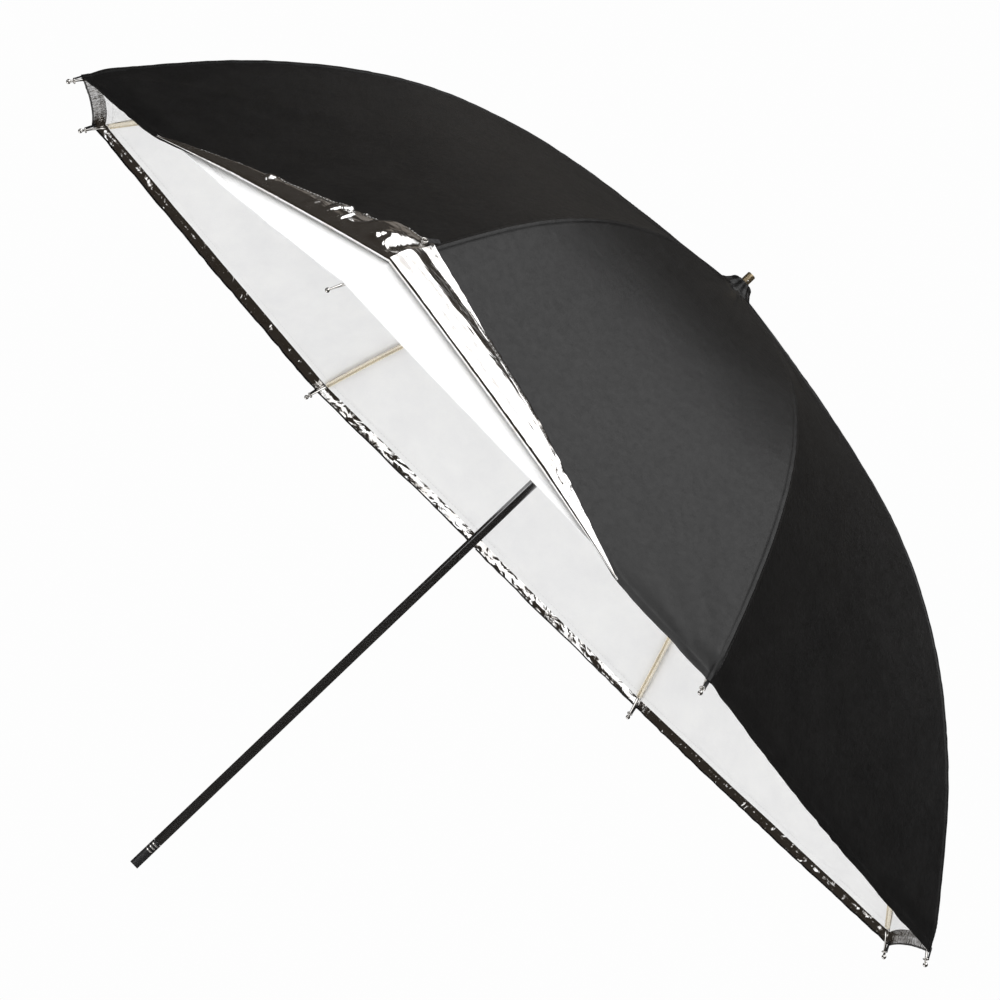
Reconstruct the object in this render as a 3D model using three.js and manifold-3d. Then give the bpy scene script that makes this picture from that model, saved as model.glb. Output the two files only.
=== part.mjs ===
// Umbrella reflector: a white shoot-through umbrella with a black and silver cover over it. One corner of
// the cover is unhooked from its rib and folded back. Millimetres, with +Z along the shaft towards the
// crown and the origin at the centre of the shaft's lower end.
import * as THREE from 'three';
import { mergeVertices } from 'three/addons/utils/BufferGeometryUtils.js';
import Module from 'manifold-3d';

const wasm = await Module();
wasm.setup();

const DEG = Math.PI / 180;
const GAP = 0.3; // between pieces that touch

// Ribs: eight of them, named a to h, counterclockwise seen from above the crown
const RIB_NAMES = ['a', 'b', 'c', 'd', 'e', 'f', 'g', 'h'];
const RIB_PITCH = (2 * Math.PI) / RIB_NAMES.length;
const PIVOT_RADIUS = 12; // of the wire rings that the ribs and the stretchers hinge on
const CROWN_PIVOT_Z = 668;
const RIB_LENGTH = 601; // from the crown's wire ring to the centre of the tip's ball
const RIB_SLOPE = 8 * DEG; // of the open rib at the crown
const RIB_BEND = 41.6 * DEG; // from the crown to the tip
const BEND_PEAK = 300; // distance along the rib where it bends most
const BEND_AT_TIP = 0.12; // as a share of the bend at the peak
const RIB_SET = [-12, 8, -1, -1, 8, 9, -8, -6]; // how far each sprung tip stands above the mean rim
const RIB_WIDTH = 4;
const RIB_DEPTH = 3.6;
const RIB_WALL = 0.8;
const RIB_STEPS = 12;
const TIP_LENGTH = 25; // from the end of the channel to the centre of the ball
const SOCKET_RADIUS = 1.9;
const SOCKET_LENGTH = 5;
const SHANK_RADIUS = 1;
const BALL_RADIUS = 2;
const BALL_RINGS = [-25, 10, 45]; // degrees above the ball's middle

// Stretchers: as long as their joint on the rib is far from the crown, so both ends stay on one line
const JOINT_AT = 245; // along the rib
const JOINT_DROP = 0.4; // below the middle of the channel
const RIVET_RADIUS = 0.8;
const RIVET_HEAD = 0.5; // how far each end stands out of the fork
const RIVET_PLAY = 0.35;
const STRETCHER_WIDTH = 2.2;
const STRETCHER_DEPTH = 3;
const FORK_LENGTH = 12;
const FORK_BRIDGE = 10; // from the rivet to the start of the solid bridge
const CHEEK = 0.8;
const CHEEK_DEPTH = 4;

// Eyes at the inner ends, and the notched wheels and wire rings that they hang on
const EYE_RADIUS = 2.2;
const EYE_WIDTH = 2;
const EYE_HOLE = 0.95;
const NECK_LENGTH = 10;
const NECK_DEPTH = 2.4;
const WIRE_RADIUS = 0.6;
const WHEEL_RADIUS = 13.5;
const WHEEL_UP = 2.3;
const WHEEL_DOWN = 3.5;
const WHEEL_SLOT = 2.9;
const SLOT_FLOOR = 8.8; // radius that the slots reach in to
const ROUND = 16; // sides of the round pieces on the shaft

// Shaft
const SHAFT_RADIUS = 4;
const SHAFT_BORE = 3.2;
const TAIL_LENGTH = 26;
const TAIL_RADIUS = 4.1;
const TAIL_GROOVES = [17, 20.3, 23.5];
const GROOVE_DEPTH = 0.6;
const EDGE = 0.6; // of the small chamfers on turned pieces
const TUBE_TOP = 672;
const SHAFT_TOP = 694.5;
const FERRULE_RADIUS = 3.8;
const PLUG_RADIUS = 2.8;
const PLUG_LENGTH = 12;
const FERRULE_PIN_Z = 688;
const PIN_RADIUS = 0.75;

// Runner, its stop and its catch
const RUNNER_LENGTH = 46;
const RUNNER_RADIUS = 6.5;
const RUNNER_FOOT = 8;
const FOOT_HEIGHT = 7;
const STOP_RADIUS = 1;
const STOP_LENGTH = 12.5;
const CATCH_LEG = 30;
const CATCH_WIDTH = 1.6;
const CATCH_REACH = 6.5; // radius that the nose stands out to
const CATCH_NOSE = 9;
const CATCH_FLAT = 3; // of the nose's outer end
const CATCH_INNER = 1.2; // radii that the leg lies between
const CATCH_OUTER = 2.2;
const CATCH_AZIMUTH = RIB_PITCH / 2;

// Canopy and cover: distances from the middle of the rib to each sheet's lower face
const SHEET = 1;
const CANOPY_LIFT = 3.8;
const COVER_LIFT = 6.2;
const FLAP_LIFT = 9;
const SHEET_START = -4; // along the rib, just inside the crown's wire ring
const CANOPY_CORNER = RIB_LENGTH - 22;
const COVER_CORNER = RIB_LENGTH - 10;
const FREE_CORNER_SHIFT = 7; // the canopy's corner lies further out where the cover is unhooked
// For each panel, a to b first: how far its hem curves in, and how far it dips between its ribs at the rim
const HEM_DIPS = [3, 10, 6, 3, 5, 8, 6, 3];
const PANEL_SAGS = [7, 12, 12, 3, 9, 12, 11, 3];
const CANOPY_HEM_DIP = 1; // how much more the canopy's hem curves in than the cover's
const SEAM_GAP = 0.42; // between two neighbouring gores
const SHEET_COLUMNS = 4;
const SHEET_ROWS = 10;

// Corner b of the cover is folded back: how deep, and how far the fold runs towards ribs a and c,
// as shares of a panel's width
const FOLDED = 1;
const FOLD_DEPTH = 50.5;
const FOLD_TO_A = 0.715;
const FOLD_TO_C = 0.76;
const FOLD_FULLNESS_A = 0.45; // how far the fold bows out from a straight line
const FOLD_FULLNESS_C = 0.3;
const FLAP_SPAN_A = 0.6;
const FLAP_SPAN_C = 0.64;
const FLAP_COLUMNS = 10; // even, so that one line of points follows the rib
const FLAP_ROWS = 2;

// Cover's corner tabs with their eyelets, and its gathered collar
const EYELET_BORE = 1.55;
const EYELET_RADIUS = 3.2;
const EYELET_THICKNESS = 1.2;
const TAB_WIDTH = 5;
const TAB_THICKNESS = 1;
const LOOSE_TAB_LENGTH = 10;
const LOOSE_TAB_RISE = 2.2; // above the folded corner's upper face
const LOOSE_TAB_TURN = 27 * DEG; // from straight down the rib, towards rib a
const COLLAR_BORE = 4.2;
const COLLAR_RADIUS = 18;
const COLLAR_BASE = 675; // at its rim; the cover falls away below it
const COLLAR_TOP = 686;

function finish(color, roughness, metalness) {
  return new THREE.MeshStandardMaterial({ color, roughness, metalness });
}

const blackSteel = () => finish(0x141416, 0.3, 0.6);
const nickel = () => finish(0xcfcabf, 0.25, 1);
const blackPlastic = () => finish(0x17171a, 0.45, 0);
const whiteCloth = () => finish(0xf0f0ee, 0.8, 0);
const blackCloth = () => finish(0x1c1c1f, 0.7, 0);
const silverFilm = () => finish(0xb9babd, 0.3, 0.9);

// ---- solids and booleans

function toSolid(geometry) {
  const bare = geometry.clone();
  bare.deleteAttribute('uv');
  bare.deleteAttribute('normal');
  const merged = mergeVertices(bare, 1e-4);
  const vertProperties = new Float32Array(merged.attributes.position.array);
  const triVerts = new Uint32Array(merged.index.array);
  return new wasm.Manifold(new wasm.Mesh({ numProp: 3, vertProperties, triVerts }));
}

function toGeometry(solid) {
  const { vertProperties, triVerts } = solid.getMesh();
  const geometry = new THREE.BufferGeometry();
  geometry.setAttribute('position', new THREE.BufferAttribute(vertProperties, 3));
  geometry.setIndex(new THREE.BufferAttribute(triVerts, 1));
  geometry.computeVertexNormals();
  return geometry;
}

function join(...geometries) {
  return toGeometry(geometries.map(toSolid).reduce((whole, piece) => whole.add(piece)));
}

function cut(geometry, ...tools) {
  return toGeometry(tools.map(toSolid).reduce((whole, tool) => whole.subtract(tool), toSolid(geometry)));
}

// A block between two corners
function block(x0, x1, y0, y1, z0, z1) {
  const box = new THREE.BoxGeometry(x1 - x0, y1 - y0, z1 - z0);
  return box.translate((x0 + x1) / 2, (y0 + y1) / 2, (z0 + z1) / 2);
}

// A round pin along Y, centred at x, z
function pinAcross(radius, length, x, z, sides = 8) {
  return new THREE.CylinderGeometry(radius, radius, length, sides).translate(x, 0, z);
}

// A turned piece about Z from [radius, height] pairs that start and end on the axis, or close
function turned(profile, sides = ROUND) {
  const points = profile.map(([radius, height]) => new THREE.Vector2(radius, height));
  return new THREE.LatheGeometry(points, sides).rotateX(Math.PI / 2);
}

// A turned ring, whose profile closes on itself
function turnedRing(profile, sides = ROUND) {
  return turned([...profile, profile[0]], sides);
}

// ---- the open rib's line, in its own upright plane

function bendAt(s) {
  const peak = RIB_BEND / (BEND_PEAK / 2 + ((RIB_LENGTH - BEND_PEAK) * (1 + BEND_AT_TIP)) / 2);
  if (s < BEND_PEAK) {
    return (peak * Math.max(s, 0)) / BEND_PEAK;
  }
  return THREE.MathUtils.lerp(peak, peak * BEND_AT_TIP, (s - BEND_PEAK) / (RIB_LENGTH - BEND_PEAK));
}

// Radius, height and slope at each whole millimetre along the rib
function tracedLine() {
  const line = [{ r: PIVOT_RADIUS, z: CROWN_PIVOT_Z, slope: RIB_SLOPE }];
  for (let s = 0; s < RIB_LENGTH; s += 1) {
    const last = line[s];
    const middle = last.slope + bendAt(s + 0.25) / 2;
    const slope = last.slope + bendAt(s + 0.5);
    line.push({ r: last.r + Math.cos(middle), z: last.z - Math.sin(middle), slope });
  }
  return line;
}

const ribLine = tracedLine();

// Rib k's line at distance s, raised by lift away from the shaft's side of the rib. Past the stretcher's
// joint each rib springs a little way off the mean line
function onRib(k, s, lift = 0) {
  const from = ribLine[Math.min(Math.max(Math.floor(s), 0), RIB_LENGTH)];
  const along = s < 0 ? s : s - Math.min(Math.floor(s), RIB_LENGTH);
  const reach = RIB_LENGTH - JOINT_AT;
  const share = Math.max(0, s - JOINT_AT) / reach;
  const set = RIB_SET[(k + RIB_SET.length) % RIB_SET.length];
  const rise = lift + set * share ** 2;
  return {
    r: from.r + along * Math.cos(from.slope) + rise * Math.sin(from.slope),
    z: from.z - along * Math.sin(from.slope) + rise * Math.cos(from.slope),
    slope: from.slope - (2 * set * share) / reach,
  };
}

class RibCurve extends THREE.Curve {
  constructor(k, start, end) {
    super();
    this.k = k;
    this.start = start;
    this.end = end;
  }

  getPoint(t, target = new THREE.Vector3()) {
    const at = onRib(this.k, THREE.MathUtils.lerp(this.start, this.end, t));
    return target.set(at.r, 0, at.z);
  }
}

// ---- ribs, tips and stretchers, each made in its rib's own upright plane

const joint = onRib(0, JOINT_AT, -JOINT_DROP);
const stretcherLength = Math.hypot(joint.r - PIVOT_RADIUS, CROWN_PIVOT_Z - joint.z);
const runnerPivotZ = 2 * joint.z - CROWN_PIVOT_Z;

// The channel is open on the side of the shaft
function channelSection() {
  const side = RIB_WIDTH / 2;
  const inner = side - RIB_WALL;
  const top = -RIB_DEPTH / 2;
  const web = top + RIB_WALL;
  const outline = [
    [-side, top], [side, top], [side, -top], [inner, -top],
    [inner, web], [-inner, web], [-inner, -top], [-side, -top],
  ];
  return new THREE.Shape(outline.map(([x, y]) => new THREE.Vector2(x, y)));
}

function ribGeometry(k) {
  const line = new RibCurve(k, NECK_LENGTH - 2, RIB_LENGTH - TIP_LENGTH - GAP);
  const channel = new THREE.ExtrudeGeometry(channelSection(), { steps: RIB_STEPS, extrudePath: line });
  const neck = block(0, NECK_LENGTH, -EYE_WIDTH / 2, EYE_WIDTH / 2, -NECK_DEPTH / 2, NECK_DEPTH / 2)
    .rotateY(RIB_SLOPE)
    .translate(PIVOT_RADIUS, 0, CROWN_PIVOT_Z);
  const eye = pinAcross(EYE_RADIUS, EYE_WIDTH, PIVOT_RADIUS, CROWN_PIVOT_Z);
  const eyeHole = pinAcross(EYE_HOLE, 2 * EYE_WIDTH, PIVOT_RADIUS, CROWN_PIVOT_Z);
  const rivetHole = pinAcross(RIVET_RADIUS + RIVET_PLAY, 2 * RIB_WIDTH, joint.r, joint.z);
  return cut(join(channel, neck, eye), eyeHole, rivetHole);
}

// Turned along +Z with its socket end at the origin, then laid along the end of the rib
function layAlongTip(k, geometry) {
  const end = onRib(k, RIB_LENGTH);
  return geometry
    .translate(0, 0, -TIP_LENGTH)
    .rotateY(Math.PI / 2 + end.slope)
    .translate(end.r, 0, end.z);
}

function tipGeometry(k) {
  const profile = [
    [0, 0], [SOCKET_RADIUS - GAP, 0], [SOCKET_RADIUS, 0.8], [SOCKET_RADIUS, SOCKET_LENGTH],
    [SHANK_RADIUS + GAP, SOCKET_LENGTH + 3], [SHANK_RADIUS, TIP_LENGTH - Math.sqrt(BALL_RADIUS ** 2 - 1)],
  ];
  for (const angle of BALL_RINGS) {
    const turn = angle * DEG;
    profile.push([BALL_RADIUS * Math.cos(turn), TIP_LENGTH + BALL_RADIUS * Math.sin(turn)]);
  }
  profile.push([0, TIP_LENGTH + BALL_RADIUS]);
  return layAlongTip(k, turned(profile, 8));
}

// Made along +X from the rivet to the eye, then laid from the rib's joint to the runner
function stretcherGeometry() {
  const half = STRETCHER_WIDTH / 2;
  const depth = STRETCHER_DEPTH / 2;
  const inside = RIB_WIDTH / 2 + GAP;
  const outside = inside + CHEEK;
  const bar = block(FORK_BRIDGE, stretcherLength - 1, -half, half, -depth, depth);
  const bridge = block(FORK_BRIDGE, FORK_LENGTH, -outside, outside, -depth, depth);
  const cheeks = [-1, 1].map((side) => {
    const [y0, y1] = side < 0 ? [-outside, -inside] : [inside, outside];
    return block(-RIB_WALL, FORK_LENGTH, y0, y1, -CHEEK_DEPTH / 2, CHEEK_DEPTH / 2);
  });
  const rivet = pinAcross(RIVET_RADIUS, 2 * (outside + RIVET_HEAD), 0, 0);
  const eye = pinAcross(EYE_RADIUS, EYE_WIDTH, stretcherLength, 0);
  const whole = cut(
    join(bar, bridge, ...cheeks, rivet, eye),
    pinAcross(EYE_HOLE, 2 * EYE_WIDTH, stretcherLength, 0),
  );
  const rise = Math.asin((joint.z - runnerPivotZ) / stretcherLength);
  return whole.rotateY(Math.PI - rise).translate(joint.r, 0, joint.z);
}

// ---- shaft, crown and runner

function tailCapGeometry() {
  const floor = TAIL_RADIUS - GROOVE_DEPTH;
  const profile = [[0, 0], [TAIL_RADIUS - EDGE, 0], [TAIL_RADIUS, EDGE]];
  for (const z of TAIL_GROOVES) {
    profile.push([TAIL_RADIUS, z - 0.7], [floor, z - 0.4], [floor, z + 0.4], [TAIL_RADIUS, z + 0.7]);
  }
  profile.push([TAIL_RADIUS, TAIL_LENGTH - GAP], [SHAFT_RADIUS, TAIL_LENGTH]);
  profile.push([PLUG_RADIUS, TAIL_LENGTH], [PLUG_RADIUS, TAIL_LENGTH + PLUG_LENGTH]);
  profile.push([0, TAIL_LENGTH + PLUG_LENGTH]);
  return turned(profile);
}

function tubeGeometry() {
  const start = TAIL_LENGTH + GAP;
  const wall = turnedRing([[SHAFT_BORE, start], [SHAFT_RADIUS, start], [SHAFT_RADIUS, TUBE_TOP],
    [SHAFT_BORE, TUBE_TOP]]);
  const noseTop = catchTop() + GAP;
  const slot = block(0, 2 * SHAFT_RADIUS, -CATCH_WIDTH / 2 - GAP, CATCH_WIDTH / 2 + GAP,
    noseTop - CATCH_NOSE - 2, noseTop).rotateZ(CATCH_AZIMUTH);
  const stopHole = pinAcross(STOP_RADIUS + GAP, 3 * SHAFT_RADIUS, 0, stopZ());
  return cut(wall, slot, stopHole);
}

function ferruleGeometry() {
  const body = turned([[0, TUBE_TOP - PLUG_LENGTH], [PLUG_RADIUS, TUBE_TOP - PLUG_LENGTH],
    [PLUG_RADIUS, TUBE_TOP + GAP], [FERRULE_RADIUS, TUBE_TOP + GAP],
    [FERRULE_RADIUS, SHAFT_TOP - EDGE], [FERRULE_RADIUS - EDGE, SHAFT_TOP], [0, SHAFT_TOP]]);
  return cut(body, pinAcross(PIN_RADIUS + GAP, 3 * FERRULE_RADIUS, 0, FERRULE_PIN_Z));
}

// A notched wheel's profile around its pivot height, from the bore outwards, with its groove for the wire
function wheelProfile(pivotZ) {
  const bore = SHAFT_RADIUS + GAP;
  const groove = PIVOT_RADIUS - WIRE_RADIUS - GAP;
  const mouth = WIRE_RADIUS + GAP;
  return [
    [bore, pivotZ - WHEEL_DOWN], [WHEEL_RADIUS - 1, pivotZ - WHEEL_DOWN],
    [WHEEL_RADIUS, pivotZ - WHEEL_DOWN + 1], [WHEEL_RADIUS, pivotZ - mouth], [groove, pivotZ - mouth],
    [groove, pivotZ + mouth], [WHEEL_RADIUS, pivotZ + mouth], [WHEEL_RADIUS, pivotZ + WHEEL_UP],
    [bore, pivotZ + WHEEL_UP],
  ];
}

function ribSlots(pivotZ) {
  return RIB_NAMES.map((name, k) => {
    const half = WHEEL_SLOT / 2;
    const slot = block(SLOT_FLOOR, 2 * WHEEL_RADIUS, -half, half, pivotZ - 2 * WHEEL_DOWN, pivotZ + 9);
    return slot.rotateZ(k * RIB_PITCH);
  });
}

function crownHubGeometry() {
  return cut(turnedRing(wheelProfile(CROWN_PIVOT_Z)), ...ribSlots(CROWN_PIVOT_Z));
}

function wireRingGeometry(pivotZ) {
  return new THREE.TorusGeometry(PIVOT_RADIUS, WIRE_RADIUS, 5, 32).translate(0, 0, pivotZ);
}

function runnerFootZ() {
  return runnerPivotZ + WHEEL_UP - RUNNER_LENGTH;
}

function catchTop() {
  return runnerFootZ() - GAP;
}

function stopZ() {
  return runnerPivotZ + WHEEL_UP + STOP_RADIUS + GAP;
}

// The foot rests on the catch, and above it a slot lets the catch's nose stand out as the runner slides by
function runnerGeometry() {
  const bore = SHAFT_RADIUS + GAP;
  const foot = runnerFootZ();
  const sleeve = turnedRing([
    [bore, foot], [RUNNER_FOOT - 0.8, foot], [RUNNER_FOOT, foot + 1], [RUNNER_FOOT, foot + FOOT_HEIGHT],
    [RUNNER_RADIUS, foot + FOOT_HEIGHT + 3], [RUNNER_RADIUS, runnerPivotZ], [bore, runnerPivotZ],
  ]);
  const wheel = cut(turnedRing(wheelProfile(runnerPivotZ)), ...ribSlots(runnerPivotZ));
  const guideSlot = block(0, 2 * WHEEL_RADIUS, -CATCH_WIDTH / 2 - GAP, CATCH_WIDTH / 2 + GAP,
    foot + FOOT_HEIGHT, foot + 2 * RUNNER_LENGTH).rotateZ(CATCH_AZIMUTH);
  return cut(join(sleeve, wheel), guideSlot);
}

// A leg inside the tube with a nose that stands out under the runner, sloped below so that it springs in
function catchGeometry() {
  const top = catchTop();
  const outline = new THREE.Shape([
    new THREE.Vector2(CATCH_INNER, top - CATCH_LEG), new THREE.Vector2(CATCH_OUTER, top - CATCH_LEG),
    new THREE.Vector2(CATCH_OUTER, top - CATCH_NOSE), new THREE.Vector2(CATCH_REACH, top - CATCH_FLAT),
    new THREE.Vector2(CATCH_REACH, top), new THREE.Vector2(CATCH_INNER, top),
  ]);
  const blade = new THREE.ExtrudeGeometry(outline, { depth: CATCH_WIDTH, bevelEnabled: false });
  return blade.translate(0, 0, -CATCH_WIDTH / 2).rotateX(Math.PI / 2).rotateZ(CATCH_AZIMUTH);
}

function collarGeometry() {
  const neck = COLLAR_RADIUS / 2;
  return turnedRing([
    [COLLAR_BORE, COLLAR_BASE + 1.3], [neck, COLLAR_BASE + 1.3], [COLLAR_RADIUS - 0.5, COLLAR_BASE],
    [COLLAR_RADIUS, COLLAR_BASE + 1], [neck + 3, COLLAR_BASE + 4.5], [neck, COLLAR_TOP - 2.5],
    [COLLAR_BORE + 1.5, COLLAR_TOP], [COLLAR_BORE, COLLAR_TOP],
  ]);
}

// ---- canopy and cover

// The number of the panel before or after rib k
function panelAt(k, across) {
  return (across < 0 ? k - 1 + RIB_NAMES.length : k) % RIB_NAMES.length;
}

// A point of a sheet, in the sector of rib k: across runs from -1 to 1 over the two half panels beside the
// rib, and 2 or -2 is the next rib
function onSheet(k, across, s, lift) {
  const side = Math.sign(across);
  const share = Math.abs(across) / 2;
  const { r, z, slope } = onRib(k, s, lift);
  const next = onRib(k + side, s, lift);
  const x = THREE.MathUtils.lerp(r, next.r * Math.cos(RIB_PITCH), share);
  const y = side * next.r * Math.sin(RIB_PITCH) * share;
  const dip = (PANEL_SAGS[panelAt(k, across)] * 4 * share * (1 - share) * r) / ribLine[RIB_LENGTH].r;
  const middle = (side * RIB_PITCH) / 2;
  return new THREE.Vector3(
    x - dip * Math.sin(slope) * Math.cos(middle),
    y - dip * Math.sin(slope) * Math.sin(middle),
    THREE.MathUtils.lerp(z, next.z, share) - dip * Math.cos(slope),
  );
}

// A closed thin solid from a box whose width, length and thickness are bent to shape
function sheetSolid(columns, rows, place) {
  const geometry = new THREE.BoxGeometry(1, 1, 1, columns, rows, 1);
  const position = geometry.attributes.position;
  for (let i = 0; i < position.count; i += 1) {
    const u = position.getX(i) + 0.5;
    const v = position.getY(i) + 0.5;
    const t = position.getZ(i) + 0.5;
    const { x, y, z } = place(1 - u, v, t);
    position.setXYZ(i, x, y, z);
  }
  return geometry;
}

// How deep the cover is folded back, at a share of a panel away from rib b (towards rib a when negative)
function foldDepth(share) {
  const [end, fullness] = share < 0 ? [FOLD_TO_A, FOLD_FULLNESS_A] : [FOLD_TO_C, FOLD_FULLNESS_C];
  const reach = Math.min(1, Math.abs(share) / end);
  return FOLD_DEPTH * (1 - reach) * (1 + fullness * reach);
}

function hemAt(corner, dip, share) {
  return corner - dip * 4 * share * (1 - share);
}

function canopyHem(k, across) {
  const fromFree = Math.min(1, Math.abs(k - FOLDED + across / 2));
  const corner = CANOPY_CORNER + FREE_CORNER_SHIFT * (1 - fromFree);
  return hemAt(corner, HEM_DIPS[panelAt(k, across)] + CANOPY_HEM_DIP, Math.abs(across) / 2);
}

// The cover's lower edge beside rib k, which is the fold where its corner is folded back
function coverHem(k, across) {
  const fromFolded = k - FOLDED + across / 2;
  const whole = hemAt(COVER_CORNER, HEM_DIPS[panelAt(k, across)], Math.abs(across) / 2);
  return Math.abs(fromFolded) < 1 ? whole - foldDepth(fromFolded) : whole;
}

// One rib's share of a sheet, from the middle of one panel to the middle of the next
function goreGeometry(k, hem, lift) {
  return sheetSolid(SHEET_COLUMNS, SHEET_ROWS, (u, v, t) => {
    const across = 2 * u - 1;
    const s = THREE.MathUtils.lerp(SHEET_START, hem(k, across), v);
    const halfPanel = onRib(k, s).r * Math.sin(RIB_PITCH / 2);
    const inset = 1 - SEAM_GAP / 2 / halfPanel;
    return onSheet(k, across * inset, s, lift + t * SHEET);
  });
}

// The folded-back corner lies on the cover between the fold and its own free hem
function flapGeometry() {
  return sheetSolid(FLAP_COLUMNS, FLAP_ROWS, (u, v, t) => {
    const share = u < 0.5 ? (2 * u - 1) * FLAP_SPAN_A : (2 * u - 1) * FLAP_SPAN_C;
    const dip = HEM_DIPS[panelAt(FOLDED, share)];
    const fold = hemAt(COVER_CORNER, dip, Math.abs(share)) - foldDepth(share);
    const s = fold - foldDepth(share) * (1 - v);
    return onSheet(FOLDED, 2 * share, s, FLAP_LIFT + t * SHEET);
  });
}

function eyeletRing() {
  const half = EYELET_THICKNESS / 2;
  return turnedRing([[EYELET_BORE, -half], [EYELET_RADIUS, -half], [EYELET_RADIUS, half],
    [EYELET_BORE, half]], 10);
}

// The tab's eyelet sits round the tip's shank, and its strap reaches up to the cover's corner
function hookedTabGeometry(k) {
  const ringAt = TIP_LENGTH - 4;
  const strapStart = TIP_LENGTH - (RIB_LENGTH - COVER_CORNER) + 2 * GAP;
  const strap = block(-COVER_LIFT - 2 * GAP, -EYELET_RADIUS + 0.5, -TAB_WIDTH / 2, TAB_WIDTH / 2,
    strapStart, ringAt + EYELET_THICKNESS / 2);
  return layAlongTip(k, join(eyeletRing().translate(0, 0, ringAt), strap));
}

// The unhooked tab lies on the folded corner, turned down the rib and towards rib a
function looseTabGeometry() {
  const corner = COVER_CORNER - 2 * FOLD_DEPTH;
  const strap = block(0, LOOSE_TAB_LENGTH - EYELET_BORE - 0.4, -TAB_WIDTH / 2, TAB_WIDTH / 2,
    -TAB_THICKNESS / 2, TAB_THICKNESS / 2);
  const tab = join(eyeletRing().translate(LOOSE_TAB_LENGTH, 0, 0), strap);
  const place = onRib(FOLDED, corner, FLAP_LIFT + SHEET + LOOSE_TAB_RISE);
  return tab.rotateZ(-LOOSE_TAB_TURN).rotateY(place.slope).translate(place.r, 0, place.z);
}

// ---- assembly

const umbrella = new THREE.Group();

function add(name, geometry, material, parent = umbrella) {
  const mesh = new THREE.Mesh(geometry, material);
  mesh.name = name;
  parent.add(mesh);
}

add('tail_cap', tailCapGeometry(), blackPlastic());
add('shaft_tube', tubeGeometry(), blackSteel());
add('ferrule', ferruleGeometry(), blackSteel());
add('ferrule_pin', pinAcross(PIN_RADIUS, 2 * FERRULE_RADIUS + 0.6, 0, FERRULE_PIN_Z, 8), nickel());
add('crown_hub', crownHubGeometry(), blackPlastic());
add('crown_wire_ring', wireRingGeometry(CROWN_PIVOT_Z), nickel());
add('stop_pin', pinAcross(STOP_RADIUS, STOP_LENGTH, 0, stopZ(), 8), nickel());
add('runner_catch', catchGeometry(), nickel());
add('runner', runnerGeometry(), blackPlastic());
add('runner_wire_ring', wireRingGeometry(runnerPivotZ), nickel());
add('cover_collar', collarGeometry(), blackCloth());

RIB_NAMES.forEach((name, k) => {
  const sector = new THREE.Group();
  sector.rotation.z = k * RIB_PITCH;
  umbrella.add(sector);
  add(`rib_${name}`, ribGeometry(k), nickel(), sector);
  add(`rib_tip_${name}`, tipGeometry(k), nickel(), sector);
  add(`stretcher_${name}`, stretcherGeometry(), nickel(), sector);
  add(`canopy_gore_${name}`, goreGeometry(k, canopyHem, CANOPY_LIFT), whiteCloth(), sector);
  add(`cover_gore_${name}`, goreGeometry(k, coverHem, COVER_LIFT), blackCloth(), sector);
  const tab = k === FOLDED ? looseTabGeometry() : hookedTabGeometry(k);
  add(`cover_tab_${name}`, tab, blackCloth(), sector);
  if (k === FOLDED) {
    add('cover_flap', flapGeometry(), silverFilm(), sector);
  }
});

export default umbrella;
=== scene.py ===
"""Umbrella reflector: a white shoot-through umbrella under a black and silver cover.

One corner of the cover is unhooked from its rib and folded back on itself. Lengths are in millimetres up
to make(), which turns them into metres. Every piece that belongs to a rib is made in that rib's own
upright plane, with +X away from the shaft, and then turned about the shaft.
"""
import math

import bmesh
import bpy
import numpy as np
from mathutils import Matrix


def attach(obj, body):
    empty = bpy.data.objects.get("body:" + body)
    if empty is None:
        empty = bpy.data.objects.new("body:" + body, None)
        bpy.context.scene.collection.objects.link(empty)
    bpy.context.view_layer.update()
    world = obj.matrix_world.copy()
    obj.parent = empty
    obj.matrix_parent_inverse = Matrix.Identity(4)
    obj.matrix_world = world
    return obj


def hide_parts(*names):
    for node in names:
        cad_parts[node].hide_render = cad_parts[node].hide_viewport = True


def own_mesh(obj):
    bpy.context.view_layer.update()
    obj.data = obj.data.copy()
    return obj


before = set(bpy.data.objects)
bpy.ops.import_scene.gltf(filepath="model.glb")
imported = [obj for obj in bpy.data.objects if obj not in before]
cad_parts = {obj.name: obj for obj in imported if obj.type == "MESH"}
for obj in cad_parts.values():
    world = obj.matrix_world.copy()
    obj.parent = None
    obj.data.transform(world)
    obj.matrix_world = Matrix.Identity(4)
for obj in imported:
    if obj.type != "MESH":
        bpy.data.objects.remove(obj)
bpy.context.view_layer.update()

MM = 0.001
DEG = math.pi / 180
FIT_GAP = 0.3  # between pieces that touch
NEAR_AXIS = 0.02  # the radius at which a solid turned profile starts and ends

# Ribs: the same line as the frame's ribs
RIB_NAMES = "abcdefgh"
PITCH = 2 * math.pi / len(RIB_NAMES)
PIVOT_RADIUS = 12.0
CROWN_PIVOT_Z = 668.0
RIB_LENGTH = 601
RIB_SLOPE = 8 * DEG
RIB_BEND = 41.6 * DEG
BEND_PEAK = 300
BEND_AT_TIP = 0.12
# how far each rib's tip, a to h, is sprung above or below the common line
RIB_SET = np.array([-12, 8, -1, -1, 8, 9, -8, -6], float)
JOINT_AT = 245
JOINT_DROP = 0.4
TIP_LENGTH = 25

# Cloth: distances from the middle of the rib to each sheet's lower face
CANOPY_LIFT = 3.9
COVER_LIFT = 6.4
LOOSE_TAB_LIFT = 12.4
CLOTH = 0.5
SHEET_START = -4
CANOPY_CORNER = RIB_LENGTH - 22
COVER_CORNER = RIB_LENGTH - 10
FREE_CORNER_SHIFT = 7
CANOPY_DIP = 1.0
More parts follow.
